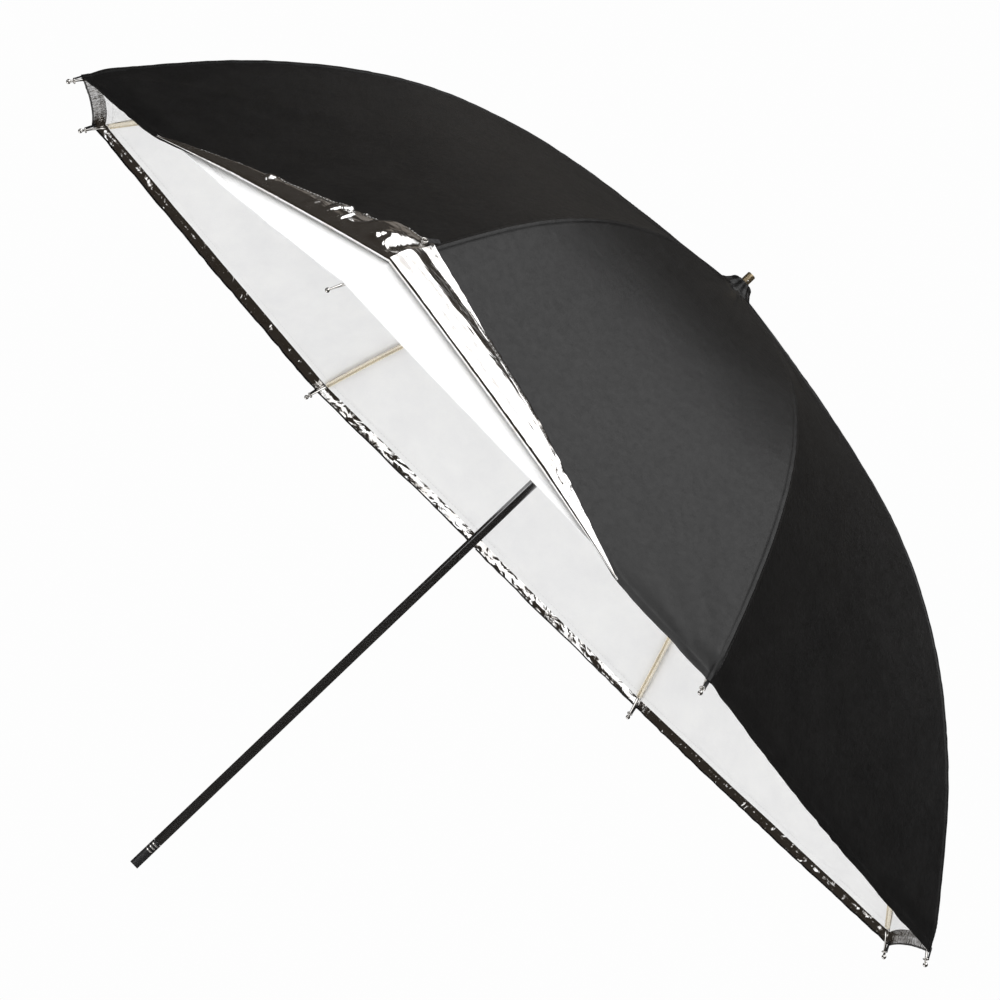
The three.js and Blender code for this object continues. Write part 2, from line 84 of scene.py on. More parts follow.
# for each panel, a to b first: how far its hem curves in, and how far it dips between its ribs at the rim
HEM_DIPS = np.array([3, 10, 6, 3, 5, 8, 6, 3], float)
PANEL_SAGS = np.array([7, 12, 12, 3, 9, 12, 11, 3], float)
FOLDED = 1
FOLD_DEPTH = 50.5
FOLD_TO_A = 0.715
FOLD_TO_C = 0.76
FOLD_FULLNESS_A = 0.45
FOLD_FULLNESS_C = 0.3
FOLD_RADIUS = 2.8


# ---- smooth noise, the same on every run

def lattice_noise(u, v, seed, period=4096):
    """Smooth noise from -1 to 1 that repeats along u every `period` cells."""
    table = np.random.default_rng(seed).uniform(-1, 1, (256, 64))
    u, v = np.broadcast_arrays(np.asarray(u, float), np.asarray(v, float))
    iu, iv = np.floor(u).astype(int), np.floor(v).astype(int)
    fu, fv = u - iu, v - iv
    fu, fv = fu * fu * (3 - 2 * fu), fv * fv * (3 - 2 * fv)

    def at(i, j):
        return table[(i % period) % 256, j % 64]

    low = at(iu, iv) * (1 - fu) + at(iu + 1, iv) * fu
    high = at(iu, iv + 1) * (1 - fu) + at(iu + 1, iv + 1) * fu
    return low * (1 - fv) + high * fv


def ridged(value):
    """Turns smooth noise into noise with sharp ridges."""
    return 1 - 2 * np.abs(value)


def fade(value, start, end):
    """Smoothly from 0 at start to 1 at end."""
    t = np.clip((np.asarray(value, float) - start) / (end - start), 0, 1)
    return t * t * (3 - 2 * t)


# ---- the open rib's line

def trace_line():
    """Radius, height and slope of a rib at every millimetre; it bends most at BEND_PEAK."""
    peak = RIB_BEND / (BEND_PEAK / 2 + (RIB_LENGTH - BEND_PEAK) * (1 + BEND_AT_TIP) / 2)

    def bend(s):
        if s < BEND_PEAK:
            return peak * max(s, 0) / BEND_PEAK
        return peak + (peak * BEND_AT_TIP - peak) * (s - BEND_PEAK) / (RIB_LENGTH - BEND_PEAK)

    line = [(PIVOT_RADIUS, CROWN_PIVOT_Z, RIB_SLOPE)]
    for s in range(RIB_LENGTH):
        r, z, slope = line[-1]
        middle = slope + bend(s + 0.25) / 2
        line.append((r + math.cos(middle), z - math.sin(middle), slope + bend(s + 0.5)))
    return np.array(line)


RIB_LINE = trace_line()
RIM_RADIUS = RIB_LINE[-1, 0]


def on_rib(k, s, lift=0.0):
    """Radius, height and slope of rib k at distance s, raised by lift away from the shaft's side."""
    k, s, lift = np.broadcast_arrays(np.asarray(k), np.asarray(s, float), np.asarray(lift, float))
    whole = np.arange(RIB_LENGTH + 1)
    inside = np.clip(s, 0, RIB_LENGTH)
    r, z, slope = (np.interp(inside, whole, RIB_LINE[:, i]) for i in range(3))
    beyond = s - inside
    share = np.maximum(0, s - JOINT_AT) / (RIB_LENGTH - JOINT_AT)
    spring = RIB_SET[k % len(RIB_NAMES)]
    rise = lift + spring * share**2
    return (
        r + beyond * np.cos(slope) + rise * np.sin(slope),
        z - beyond * np.sin(slope) + rise * np.cos(slope),
        slope - 2 * spring * share / (RIB_LENGTH - JOINT_AT),
    )


def rib_points(k, s, y, lift):
    """Points beside rib k in its own plane: y across it and lift above it."""
    r, z, _ = on_rib(k, s, lift)
    r, y, z = np.broadcast_arrays(r, np.asarray(y, float), z)
    return np.stack([r, y, z], -1)


JOINT_R, JOINT_Z = (float(v) for v in on_rib(2, JOINT_AT, -JOINT_DROP)[:2])
STRETCHER_LENGTH = math.hypot(JOINT_R - PIVOT_RADIUS, CROWN_PIVOT_Z - JOINT_Z)
RUNNER_PIVOT_Z = 2 * JOINT_Z - CROWN_PIVOT_Z
RUNNER_LENGTH = 46
WHEEL_ABOVE = 2.3
WHEEL_BELOW = 3.5
RUNNER_TOP = RUNNER_PIVOT_Z + WHEEL_ABOVE
RUNNER_FOOT = RUNNER_TOP - RUNNER_LENGTH


# ---- the sheets

def panel_at(k, across):
    """The number of the panel before or after rib k."""
    return np.where(np.asarray(across) < 0, k - 1, k) % len(RIB_NAMES)


def panel_fullness(k, across, s):
    """How far a panel dips between two ribs."""
    return PANEL_SAGS[panel_at(k, across)] * on_rib(2, s)[0] / RIM_RADIUS


def on_sheet(k, across, s, lift):
    """A point beside rib k: across is -1 to 1 over the half panels beside it, and 2 at the next rib."""
    side = np.sign(across).astype(int)
    share = np.abs(across) / 2
    r, z, slope = on_rib(k, s, lift)
    next_r, next_z, _ = on_rib(k + side, s, lift)
    x = r + (next_r * math.cos(PITCH) - r) * share
    y = side * next_r * math.sin(PITCH) * share
    dip = panel_fullness(k, across, s) * 4 * share * (1 - share)
    middle = side * PITCH / 2
    return np.stack([
        x - dip * np.sin(slope) * np.cos(middle),
        y - dip * np.sin(slope) * np.sin(middle),
        z + (next_z - z) * share - dip * np.cos(slope),
    ], -1)


def half_panel(s):
    """Half the width of a panel."""
    return on_rib(2, s)[0] * math.sin(PITCH / 2)


def fold_depth(share):
    """How deep the cover is folded back, at a share of a panel from rib b, towards rib a when negative."""
    share = np.asarray(share, float)
    reach = np.clip(np.abs(share) / np.where(share < 0, FOLD_TO_A, FOLD_TO_C), 0, 1)
    fullness = np.where(share < 0, FOLD_FULLNESS_A, FOLD_FULLNESS_C)
    return FOLD_DEPTH * (1 - reach) * (1 + fullness * reach)


def hem_at(corner, dip, share):
    """Where the hem lies at a share of a panel: it curves in by dip between its corners."""
    return corner - dip * 4 * share * (1 - share)


def canopy_lift(s):
    """Height of the canopy's lower face above the rib: it comes down onto the rib at its corner."""
    return CANOPY_LIFT - 1.5 * fade(s, 552, 580)


def cover_lift(s):
    """The same for the cover."""
    return COVER_LIFT - 3.4 * fade(s, 566, 594)


def canopy_hem(k, across):
    """Where the canopy ends: a little further out at the corner that the cover leaves free."""
    free = np.clip(1 - np.abs(k - FOLDED + across / 2), 0, 1)
    dip = HEM_DIPS[panel_at(k, across)] + CANOPY_DIP
    return hem_at(CANOPY_CORNER + FREE_CORNER_SHIFT * free, dip, np.abs(across) / 2)


def folded_share(k, across):
    """How deep the cover is folded at that place."""
    share = k - FOLDED + across / 2
    return np.where(np.abs(share) < 1, fold_depth(share), 0)


def roll_radius(depth):
    """The fold's radius: soft where much cloth is folded, and sharp towards its ends."""
    return np.where(depth > 0, FOLD_RADIUS * np.clip(depth / 20, 0.1, 1), 0)


def cover_hem(k, across):
    """Where the cover ends, or starts to roll over at its fold."""
    folded = folded_share(k, across)
    whole = hem_at(COVER_CORNER, HEM_DIPS[panel_at(k, across)], np.abs(across) / 2)
    return whole - folded - roll_radius(folded)


# ---- meshes

class Shape:
    """Closed parts that together make one piece."""

    def __init__(self):
        self.points, self.faces, self.slots, self.uvs = [], [], [], []
        self.count = 0

    def add(self, points, faces, slot=0, uv=None):
        points = np.asarray(points, float).reshape(-1, 3)
        self.points.append(points)
        self.uvs.append(points[:, :2] if uv is None else np.asarray(uv, float).reshape(-1, 2))
        self.faces += (np.asarray(faces) + self.count).tolist() if len(faces) else []
        self.slots += list(np.broadcast_to(slot, len(faces)))
        self.count += len(points)

    def add_mixed(self, points, faces, slot=0):
        """Faces of differing numbers of corners."""
        points = np.asarray(points, float).reshape(-1, 3)
        self.points.append(points)
        self.uvs.append(points[:, :2])
        self.faces += [[i + self.count for i in face] for face in faces]
        self.slots += [slot] * len(faces)
        self.count += len(points)


def turned_about_z(points, angle):
    c, s = math.cos(angle), math.sin(angle)
    return points @ np.array([[c, s, 0], [-s, c, 0], [0, 0, 1]])


def make(shape, name, materials, body=None, node=None, k=0, sharp=35):
    """One Blender piece from a shape, in metres. With a body, it rides on it in place of its CAD node."""
    points = turned_about_z(np.concatenate(shape.points), k * PITCH) * MM
    mesh = bpy.data.meshes.new(name)
    mesh.from_pydata(points.tolist(), [], shape.faces)
    mesh.polygons.foreach_set("material_index", np.array(shape.slots, np.int32))
    corners = np.zeros(len(mesh.loops), np.int32)
    mesh.loops.foreach_get("vertex_index", corners)
    uv_layer = mesh.uv_layers.new(name="cloth")
    uv = np.concatenate(shape.uvs)[corners] * MM
    uv_layer.data.foreach_set("uv", uv.astype(np.float32).ravel())
    tool = bmesh.new()
    tool.from_mesh(mesh)
    bmesh.ops.recalc_face_normals(tool, faces=tool.faces)
    tool.to_mesh(mesh)
    tool.free()
    mesh.polygons.foreach_set("use_smooth", np.ones(len(mesh.polygons), bool))
    mesh.set_sharp_from_angle(angle=sharp * DEG)
    for material in materials:
        mesh.materials.append(material)
    piece = bpy.data.objects.new(name, mesh)
    bpy.context.scene.collection.objects.link(piece)
    if body:
        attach(piece, body)
        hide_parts(node)
    return piece


def grid_faces(rows, columns, first=0, flip=False):
    """Quads of a grid of points stored row by row. Flipped ones still split along the same diagonal."""
    i = np.arange(rows - 1)[:, None] * columns + np.arange(columns - 1)[None, :] + first
    quads = np.stack([i, i + 1, i + columns + 1, i + columns], -1).reshape(-1, 4)
    return quads[:, [0, 3, 2, 1]] if flip else quads


def rim_faces(rows, columns):
    """Quads that join the edges of two grids of points, one stored after the other."""
    top = np.arange(columns)
    left = np.arange(rows) * columns
    right = left + columns - 1
    bottom = top + left[-1]
    ring = np.concatenate([top, right[1:], bottom[-2::-1], left[-2::-1]])
    shift = rows * columns
    return np.stack([ring[:-1], ring[1:], ring[1:] + shift, ring[:-1] + shift], -1)


def add_shell(shape, outer, inner, slots, uv):
    """A closed thin shell between two grids of points, with slots for its outer, inner and rim faces."""
    rows, columns = outer.shape[:2]
    quads = [grid_faces(rows, columns), grid_faces(rows, columns, rows * columns, flip=True),
             rim_faces(rows, columns)]
    slot = np.concatenate([np.broadcast_to(s, len(q)) for s, q in zip(slots, quads)])
    points = np.concatenate([outer.reshape(-1, 3), inner.reshape(-1, 3)])
    shape.add(points, np.concatenate(quads), slot, np.concatenate([uv.reshape(-1, 2)] * 2))


def add_sweep(shape, rings, slot=0, closed=False):
    """A tube through rings of points, with its ends capped unless the rings close on themselves."""
    rings = np.asarray(rings, float)
    n, m = rings.shape[:2]
    last = n if closed else n - 1
    i, j = np.meshgrid(np.arange(last), np.arange(m), indexing="ij")
    a, b = i * m + j, i * m + (j + 1) % m
    c, d = ((i + 1) % n) * m + (j + 1) % m, ((i + 1) % n) * m + j
    faces = np.stack([a, b, c, d], -1).reshape(-1, 4).tolist()
    if not closed:
        faces += [list(range(m))[::-1], list(range((n - 1) * m, n * m))]
    shape.add_mixed(rings.reshape(-1, 3), faces, slot)


def lathe_rings(profile, sides=48):
    """Rings about Z from (radius, height) pairs."""
    turn = np.arange(sides) * 2 * math.pi / sides
    profile = np.asarray(profile, float)
    x = profile[:, 0, None] * np.cos(turn)
    y = profile[:, 0, None] * np.sin(turn)
    return np.stack([x, y, np.broadcast_to(profile[:, 1, None], x.shape)], -1)


def add_turned(shape, profile, place=None, sides=48, slot=0, ring=False):
    """A turned part about Z, moved by place; a ring's profile closes on itself."""
    rings = lathe_rings(profile, sides)
    if place is not None:
        rings = rings @ np.array(place.to_3x3()).T + np.array(place.translation)
    add_sweep(shape, rings, slot, closed=ring)


def add_ring(shape, place, slot, radius=2.4, thickness=0.75, sides=32):
    """A round ring about Z: a rolled eyelet or a wire."""
    turn = np.linspace(0, 2 * math.pi, 13)[:-1]
    profile = np.stack([radius + thickness * np.cos(turn), thickness * np.sin(turn)], -1)
    add_turned(shape, profile, place, sides, slot, ring=True)


def rounded_outline(half_width, half_height, radius, steps=4):
    """A rectangle with round corners, counterclockwise."""
    points = []
    for sx, sy, start in ((1, 1, 0), (-1, 1, 90), (-1, -1, 180), (1, -1, 270)):
        for i in range(steps + 1):
            turn = (start + 90 * i / steps) * DEG
            points.append((sx * (half_width - radius) + radius * math.cos(turn),
                           sy * (half_height - radius) + radius * math.sin(turn)))
    return np.array(points)


def add_bar(shape, start, end, up, outline, slot=0):
    """A straight bar with an outline of (side, up) pairs, between two points."""
    start, end, up = (np.asarray(v, float) for v in (start, end, up))
    along = (end - start) / np.linalg.norm(end - start)
    side = np.cross(up, along)
    side /= np.linalg.norm(side)
    rise = np.cross(along, side)
    ring = outline[:, :1] * side + outline[:, 1:] * rise
    add_sweep(shape, [start + ring, end + ring], slot)


# ---- materials

def new_material(name, colour, roughness, metallic=0.0):
    """A Principled material. Returns it with its node tree and shader."""
    material = bpy.data.materials.new(name)
    material.use_nodes = True
    tree = material.node_tree
    shader = tree.nodes["Principled BSDF"]
    shader.inputs["Base Color"].default_value = (*colour, 1)
    shader.inputs["Roughness"].default_value = roughness
    shader.inputs["Metallic"].default_value = metallic
    return material, tree, shader


def texture_place(tree, scale=(1, 1, 1), source="Object"):
    """Texture coordinates times scale, which may differ along each axis."""
    coordinates = tree.nodes.new("ShaderNodeTexCoord")
    mapping = tree.nodes.new("ShaderNodeMapping")
    mapping.inputs["Scale"].default_value = scale
    tree.links.new(coordinates.outputs[source], mapping.inputs["Vector"])
    return mapping.outputs["Vector"]


def noise_texture(tree, vector, scale, detail=4.0, roughness=0.55, distortion=0.0):
    node = tree.nodes.new("ShaderNodeTexNoise")
    node.inputs["Scale"].default_value = scale
    node.inputs["Detail"].default_value = detail
    node.inputs["Roughness"].default_value = roughness
    node.inputs["Distortion"].default_value = distortion
    tree.links.new(vector, node.inputs["Vector"])
    return node.outputs["Fac"]


def wave_texture(tree, vector, scale, direction):
    node = tree.nodes.new("ShaderNodeTexWave")
    node.wave_type = "BANDS"
    node.bands_direction = direction
    node.inputs["Scale"].default_value = scale
    tree.links.new(vector, node.inputs["Vector"])
    return node.outputs["Fac"]


def math_node(tree, operation, a, b):
    node = tree.nodes.new("ShaderNodeMath")
    node.operation = operation
    for socket, value in zip(node.inputs, (a, b)):
        if isinstance(value, (int, float)):
            socket.default_value = value
        else:
            tree.links.new(value, socket)
    return node.outputs["Value"]


def ramp(tree, value, stops):
    """Colours at positions; each stop is (position, grey or (r, g, b))."""
    node = tree.nodes.new("ShaderNodeValToRGB")
    elements = node.color_ramp.elements
    while len(elements) < len(stops):
        elements.new(0.5)
    for element, (position, colour) in zip(elements, stops):
        element.position = position
        element.color = (*colour, 1) if isinstance(colour, tuple) else (colour, colour, colour, 1)
    tree.links.new(value, node.inputs["Fac"])
    return node.outputs["Color"]


def drive(tree, shader, socket, value, stops):
    """Sets one of the shader's inputs from a value, through a ramp."""
    tree.links.new(ramp(tree, value, stops), shader.inputs[socket])


def add_bump(tree, shader, height, distance, strength=1.0, before=None):
    node = tree.nodes.new("ShaderNodeBump")
    node.inputs["Strength"].default_value = strength
    node.inputs["Distance"].default_value = distance
    tree.links.new(height, node.inputs["Height"])
    if before is not None:
        tree.links.new(before, node.inputs["Normal"])
    tree.links.new(node.outputs["Normal"], shader.inputs["Normal"])
    return node.outputs["Normal"]


WEAVE_PITCH = 0.00035
WEAVE_DEPTH = 0.00006
THREAD_TWIST = 0.0004
WEBBING_RIB = 0.0007


def bands_of(pitch):
    """The wave texture's scale that gives bands at that pitch, in metres."""
    return math.pi / (10 * pitch)


def weave_height(tree):
    """A plain weave: warp and weft threads that cross, from UVs in metres."""
    vector = texture_place(tree, source="UV")
    warp = wave_texture(tree, vector, bands_of(WEAVE_PITCH), "X")
    weft = wave_texture(tree, vector, bands_of(WEAVE_PITCH), "Y")
    return math_node(tree, "MULTIPLY", warp, weft)


def cloth_material(name, dark, light, roughness, sheen, specular):
    """Plain woven cloth: a fine weave, uneven threads, faint blotches and a little slack."""
    material, tree, shader = new_material(name, light, roughness)
    blotches = noise_texture(tree, texture_place(tree), 26, 6, 0.65)
    threads = noise_texture(tree, texture_place(tree, (1, 6, 1), "UV"), 420, 2)
    tone = math_node(tree, "ADD", math_node(tree, "MULTIPLY", blotches, 0.7),
                     math_node(tree, "MULTIPLY", threads, 0.3))
    drive(tree, shader, "Base Color", tone, [(0.38, dark), (0.62, light)])
    wear = noise_texture(tree, texture_place(tree), 170, 6, 0.7)
    drive(tree, shader, "Roughness", wear, [(0.35, roughness * 0.85), (0.65, roughness * 1.2)])
    shader.inputs["Sheen Weight"].default_value = sheen
    shader.inputs["Sheen Roughness"].default_value = 0.45
    shader.inputs["Specular IOR Level"].default_value = specular
    fine = add_bump(tree, shader, weave_height(tree), WEAVE_DEPTH, 0.5)
    slack = noise_texture(tree, texture_place(tree), 55, 3)
    add_bump(tree, shader, slack, 0.0012, 0.4, before=fine)
    return material


def silver_film(name, crinkle_scale, crinkle_depth, stretch=(1, 1, 1)):
    """Metallised film: bright, thin and crinkled, with crinkles that may be drawn out along the cloth."""
    material, tree, shader = new_material(name, (0.93, 0.92, 0.91), 0.14, 1.0)
    place = texture_place(tree)
    folds = noise_texture(tree, place, 60, 4, 0.55, 1.5)
    crinkles = noise_texture(tree, texture_place(tree, stretch, "UV"), crinkle_scale, 2, 0.4, 0.6)
    grain = noise_texture(tree, place, 900, 3)
    drive(tree, shader, "Base Color", folds, [(0.3, (0.78, 0.74, 0.70)), (0.6, (0.95, 0.95, 0.95))])
    drive(tree, shader, "Roughness", folds, [(0.3, 0.16), (0.7, 0.08)])
    first = add_bump(tree, shader, folds, 0.0012, 0.2)
    second = add_bump(tree, shader, crinkles, crinkle_depth, 1.0, before=first)
    add_bump(tree, shader, grain, 0.00008, 0.3, before=second)
    return material


def metal(name, colour, roughness, metallic=1.0, wear=0.12):
    """Plated metal with a fine grain and a little tarnish."""
    material, tree, shader = new_material(name, colour, roughness, metallic)
    grain = noise_texture(tree, texture_place(tree), 1400, 3)
    tarnish = noise_texture(tree, texture_place(tree), 40, 5)
    darker = tuple(c * (1 - wear) for c in colour)
    drive(tree, shader, "Base Color", tarnish, [(0.35, darker), (0.6, colour)])
    drive(tree, shader, "Roughness", grain, [(0.3, roughness * 0.8), (0.7, roughness * 1.3)])
    add_bump(tree, shader, grain, 0.00003, 0.15)
    return material


def lacquer(name):
    """Black lacquered steel tube: drawn lines show through, and fine scuffs dull it in places."""
    material, tree, shader = new_material(name, (0.28, 0.28, 0.285), 0.12, 0.95)
    shader.inputs["Coat Weight"].default_value = 0.1
    shader.inputs["Coat Roughness"].default_value = 0.12
    lines = noise_texture(tree, texture_place(tree, (700, 700, 4)), 1.0, 3)
    scuffs = noise_texture(tree, texture_place(tree, (1, 1, 0.08)), 160, 4, 0.6)
    drive(tree, shader, "Base Color", scuffs, [(0.4, (0.22, 0.22, 0.225)), (0.75, (0.32, 0.32, 0.325))])
    drive(tree, shader, "Roughness", lines, [(0.3, 0.08), (0.7, 0.16)])
    add_bump(tree, shader, lines, 0.00004, 0.05)
    return material


def moulded(name):
    """Black moulded plastic with a fine spark-eroded grain."""
    material, tree, shader = new_material(name, (0.02, 0.02, 0.022), 0.42)
    grain = noise_texture(tree, texture_place(tree), 2600, 2)
    patches = noise_texture(tree, texture_place(tree), 90, 4)
    drive(tree, shader, "Base Color", patches, [(0.3, (0.010, 0.010, 0.011)), (0.7, (0.020, 0.020, 0.021))])
    drive(tree, shader, "Roughness", patches, [(0.3, 0.36), (0.7, 0.5)])
    add_bump(tree, shader, grain, 0.0001, 0.35)
    return material


def webbing(name):
    """Black ribbed webbing."""
    material, tree, shader = new_material(name, (0.014, 0.014, 0.015), 0.75)
    ribs = wave_texture(tree, texture_place(tree), bands_of(WEBBING_RIB), "DIAGONAL")
    fuzz = noise_texture(tree, texture_place(tree), 1500, 3)
    drive(tree, shader, "Base Color", fuzz, [(0.3, (0.006, 0.006, 0.007)), (0.7, (0.02, 0.02, 0.021))])
    shader.inputs["Sheen Weight"].default_value = 0.04
    first = add_bump(tree, shader, ribs, 0.0003, 0.6)
    add_bump(tree, shader, fuzz, 0.0002, 0.4, before=first)
    return material


def thread(name, dark, light):
    """Sewing thread with its fine twist."""
    material, tree, shader = new_material(name, (light, light, light), 0.6)
    twist = wave_texture(tree, texture_place(tree), bands_of(THREAD_TWIST), "DIAGONAL")
    drive(tree, shader, "Base Color", twist, [(0.2, dark), (0.8, light)])
    add_bump(tree, shader, twist, 0.0001, 0.5)
    return material


WHITE = cloth_material("white_translucent_nylon", (0.90, 0.90, 0.905), (0.955, 0.955, 0.95), 0.6, 0.05, 0.3)
BLACK = cloth_material("black_satin_nylon", (0.0022, 0.0022, 0.0024), (0.005, 0.0049, 0.005), 0.36, 0.0, 0.34)
SILVER = silver_film("silver_metallised_film", 95, 0.0024)
SMOOTH_SILVER = silver_film("silver_film_of_folded_corner", 130, 0.0010, (0.3, 1, 1))
THREAD = thread("grey_sewing_thread", 0.3, 0.5)
WHITE_THREAD = thread("white_sewing_thread", 0.7, 0.88)
BLACK_THREAD = thread("black_sewing_thread", 0.006, 0.016)
# rib and stretcher steel: partly the plating's warm tint, partly a painted reflection, because it is only a
# little metallic and its cream colour stands in for the white canopy that the ribs mirror
NICKEL_AND_PAINTED_REFLECTION = metal("plated_rib_steel_and_painted_reflection", (0.97, 0.90, 0.76), 0.28, 0.35)
WIRE = metal("bright_wire_steel", (0.85, 0.83, 0.80), 0.14)
BRASS = metal("ferrule_brass", (0.34, 0.27, 0.17), 0.3, 0.9, 0.5)
LACQUER = lacquer("black_lacquered_steel")
PLASTIC = moulded("black_moulded_plastic")
WEBBING = webbing("black_webbing")


# ---- camera, light and floor

CAMERA_AT = (1.9511, 4.8326, 0.0647)
# the way it looks, counted from +X, how far it looks up, and how far it is turned on its side
CAMERA_HEADING = -111.886 * DEG
CAMERA_TILT = 3.884 * DEG
CAMERA_ROLL = 46.348 * DEG
CAMERA_LENS = 231.57
FLOOR_Z = -1.0
FLOOR_RADIUS = 20.0
BACKDROP = 0.985
ROOM_LIGHT = 1.5
REFLECTED_ROOM = 0.03
DIM_LIGHT = (0.04, (1.0, 0.84, 0.68))
FULL_LIGHT = (0.4, 1.0)
# Each soft box: its direction, the cosines where it starts and is full, and its strength
SOFT_BOXES = (
    ((0, 0, 1), 0.86, 0.96, 1.9),
    ((0, 0, -1), 0.76, 0.90, 1.4),
    ((0.24, 0.60, 0.76), 0.80, 0.93, 1.0),
    ((0.33, 0.82, 0.47), 0.90, 0.97, 1.0),
    ((-0.02, -0.80, 0.60), 0.97, 0.992, 0.16),
    ((0.94, 0.34, 0.07), 0.955, 0.99, 2.4),
    ((-0.42, -0.90, -0.03), 0.96, 0.99, 0.55),
)


def make_camera():
    data = bpy.data.cameras.new("camera")
    data.sensor_width = 36
    data.lens = CAMERA_LENS
    data.clip_end = 100
    camera = bpy.data.objects.new("camera", data)
    turn = Matrix.Rotation(CAMERA_HEADING - math.pi / 2, 4, "Z")
    tilt = Matrix.Rotation(CAMERA_TILT + math.pi / 2, 4, "X")
    roll = Matrix.Rotation(CAMERA_ROLL, 4, "Z")
    camera.matrix_world = Matrix.Translation(CAMERA_AT) @ turn @ tilt @ roll
    bpy.context.scene.collection.objects.link(camera)
    bpy.context.scene.camera = camera


def cone(tree, direction, towards, start, end, strength):
    """Soft light from one direction: nothing outside `start`, full inside `end`, both as cosines."""
    dot = tree.nodes.new("ShaderNodeVectorMath")
    dot.operation = "DOT_PRODUCT"
    tree.links.new(direction, dot.inputs[0])
    dot.inputs[1].default_value = towards
    reach = tree.nodes.new("ShaderNodeMapRange")
    reach.interpolation_type = "SMOOTHSTEP"
    reach.inputs["From Min"].default_value = start
    reach.inputs["From Max"].default_value = end
    reach.inputs["To Max"].default_value = strength
    tree.links.new(dot.outputs["Value"], reach.inputs["Value"])
    return reach.outputs["Result"]


def make_world():
    """A white studio: even light all round, and a dim room with soft boxes in it for reflections."""
    world = bpy.data.worlds.new("studio")
    bpy.context.scene.world = world
    world.use_nodes = True
    tree = world.node_tree
    background = tree.nodes["Background"]
    direction = tree.nodes.new("ShaderNodeTexCoord").outputs["Generated"]
    paths = tree.nodes.new("ShaderNodeLightPath")
    boxes = REFLECTED_ROOM
    for towards, start, end, strength in SOFT_BOXES:
        boxes = math_node(tree, "ADD", cone(tree, direction, towards, start, end, strength), boxes)
    camera, glossy = paths.outputs["Is Camera Ray"], paths.outputs["Is Glossy Ray"]
    diffuse = math_node(tree, "SUBTRACT", math_node(tree, "SUBTRACT", 1.0, camera), glossy)
    light = math_node(tree, "ADD", math_node(tree, "MULTIPLY", camera, BACKDROP),
                      math_node(tree, "MULTIPLY", diffuse, ROOM_LIGHT))
    light = math_node(tree, "ADD", light, math_node(tree, "MULTIPLY", glossy, boxes))
    tree.links.new(light, background.inputs["Strength"])
    tree.links.new(ramp(tree, light, [DIM_LIGHT, FULL_LIGHT]), background.inputs["Color"])


def make_floor():
    """A round pale floor well below the umbrella, which its metal doesn't mirror."""
    shape = Shape()
    ring = lathe_rings([(FLOOR_RADIUS / MM, FLOOR_Z / MM)], 96)[0]
    shape.add_mixed(ring, [list(range(len(ring)))])
    material, tree, shader = new_material("pale_floor", (0.9, 0.9, 0.9), 0.9)
    mottle = noise_texture(tree, texture_place(tree), 3, 3)
    drive(tree, shader, "Base Color", mottle, [(0.3, 0.625), (0.7, 0.65)])
    floor = make(shape, "floor", [material])
    floor.visible_glossy = False


make_camera()
make_world()
make_floor()
bpy.context.scene.view_settings.view_transform = "Standard"


# ---- cloth relief

def corner_pull(across, s, corner, reach):
    """Tension creases that fan out from a panel's corner."""
    half = half_panel(s)
    beside = np.abs(across) * half
    up = corner - s
    far = np.hypot(beside, up)
    angle = np.arctan2(beside, np.maximum(up, 1e-3))
    return np.exp(-far / reach) * fade(far, 4, 20), angle


SEAM_WIDTH = 3.2
CANOPY_SEAM = 0.3
COVER_SEAM = 0.45
HEM_WIDTH = 6.0


def seam_relief(across, s, height):
    """The extra thickness of the seam along a rib."""
    beside = np.abs(across) * half_panel(s)
    return height * (1 - fade(beside, SEAM_WIDTH * 0.8, SEAM_WIDTH * 1.15))


def hem_band(below, height):
    """The extra thickness of a turned hem; below is the distance up from the hem's edge."""
    return height * (1 - fade(below, HEM_WIDTH, HEM_WIDTH + 0.8))


def cover_relief(k, across, s):
    """Wrinkles of the black cover, in the whole umbrella's own coordinates so that gores meet."""
    around = (k + across / 2) % len(RIB_NAMES)
    gathers = lattice_noise(around * 9, s / 170, 3, 72) + 0.5 * lattice_noise(around * 21, s / 90, 4, 168)
    relief = 1.5 * np.exp(-((s - 20) / 130) ** 2) * gathers
    relief += 1.3 * lattice_noise(around * 2, s / 150, 5, 16) * fade(s, 120, 260)
    slack = lattice_noise(around * 6 + s / 260, s / 75, 6, 48)
    relief += 0.6 * slack * fade(s, 60, 200)
    pull, angle = corner_pull(across, s, COVER_CORNER, 75)
    relief += 1.0 * pull * lattice_noise(angle * 9, 3.1 * k, 7)
    pucker = lattice_noise(s / 5.5, around * 0 + k, 8)
    beside = np.abs(across) * half_panel(s)
    relief += 0.22 * pucker * np.exp(-beside / 9) * fade(s, 20, 60)
    return relief


def hem_relief(k, across, below):
    """The cover's turned hem and its puckers; below is the distance up from the hem's edge."""
    around = k + across / 2
    pucker = lattice_noise(around * 52, 0.3, 9, 416) * np.exp(-below / 11)
    crinkle = lattice_noise(around * 130, below / 9, 10, 1040) * np.exp(-below / 16)
    return hem_band(below, 0.3) + 0.9 * pucker + 0.3 * crinkle


def canopy_top(k, across, s):
    """Height of the canopy's upper face above the rib."""
    return canopy_lift(s) + CLOTH + canopy_relief(k, across, s) + seam_relief(across, s, CANOPY_SEAM)


def canopy_relief(k, across, s):
    """Slight wrinkles of the canopy."""
    around = (k + across / 2) % len(RIB_NAMES)
    relief = 0.35 * lattice_noise(around * 3, s / 130, 13, 24) * fade(s, 30, 120)
    pull, angle = corner_pull(across, s, CANOPY_CORNER, 60)
    relief += 0.5 * pull * lattice_noise(angle * 8, 2.3 * k, 14)
    beside = np.abs(across) * half_panel(s)
    relief += 0.12 * lattice_noise(s / 6, around * 0 + k, 15) * np.exp(-beside / 8) * fade(s, 20, 60)
    return relief


# ---- cloth meshes

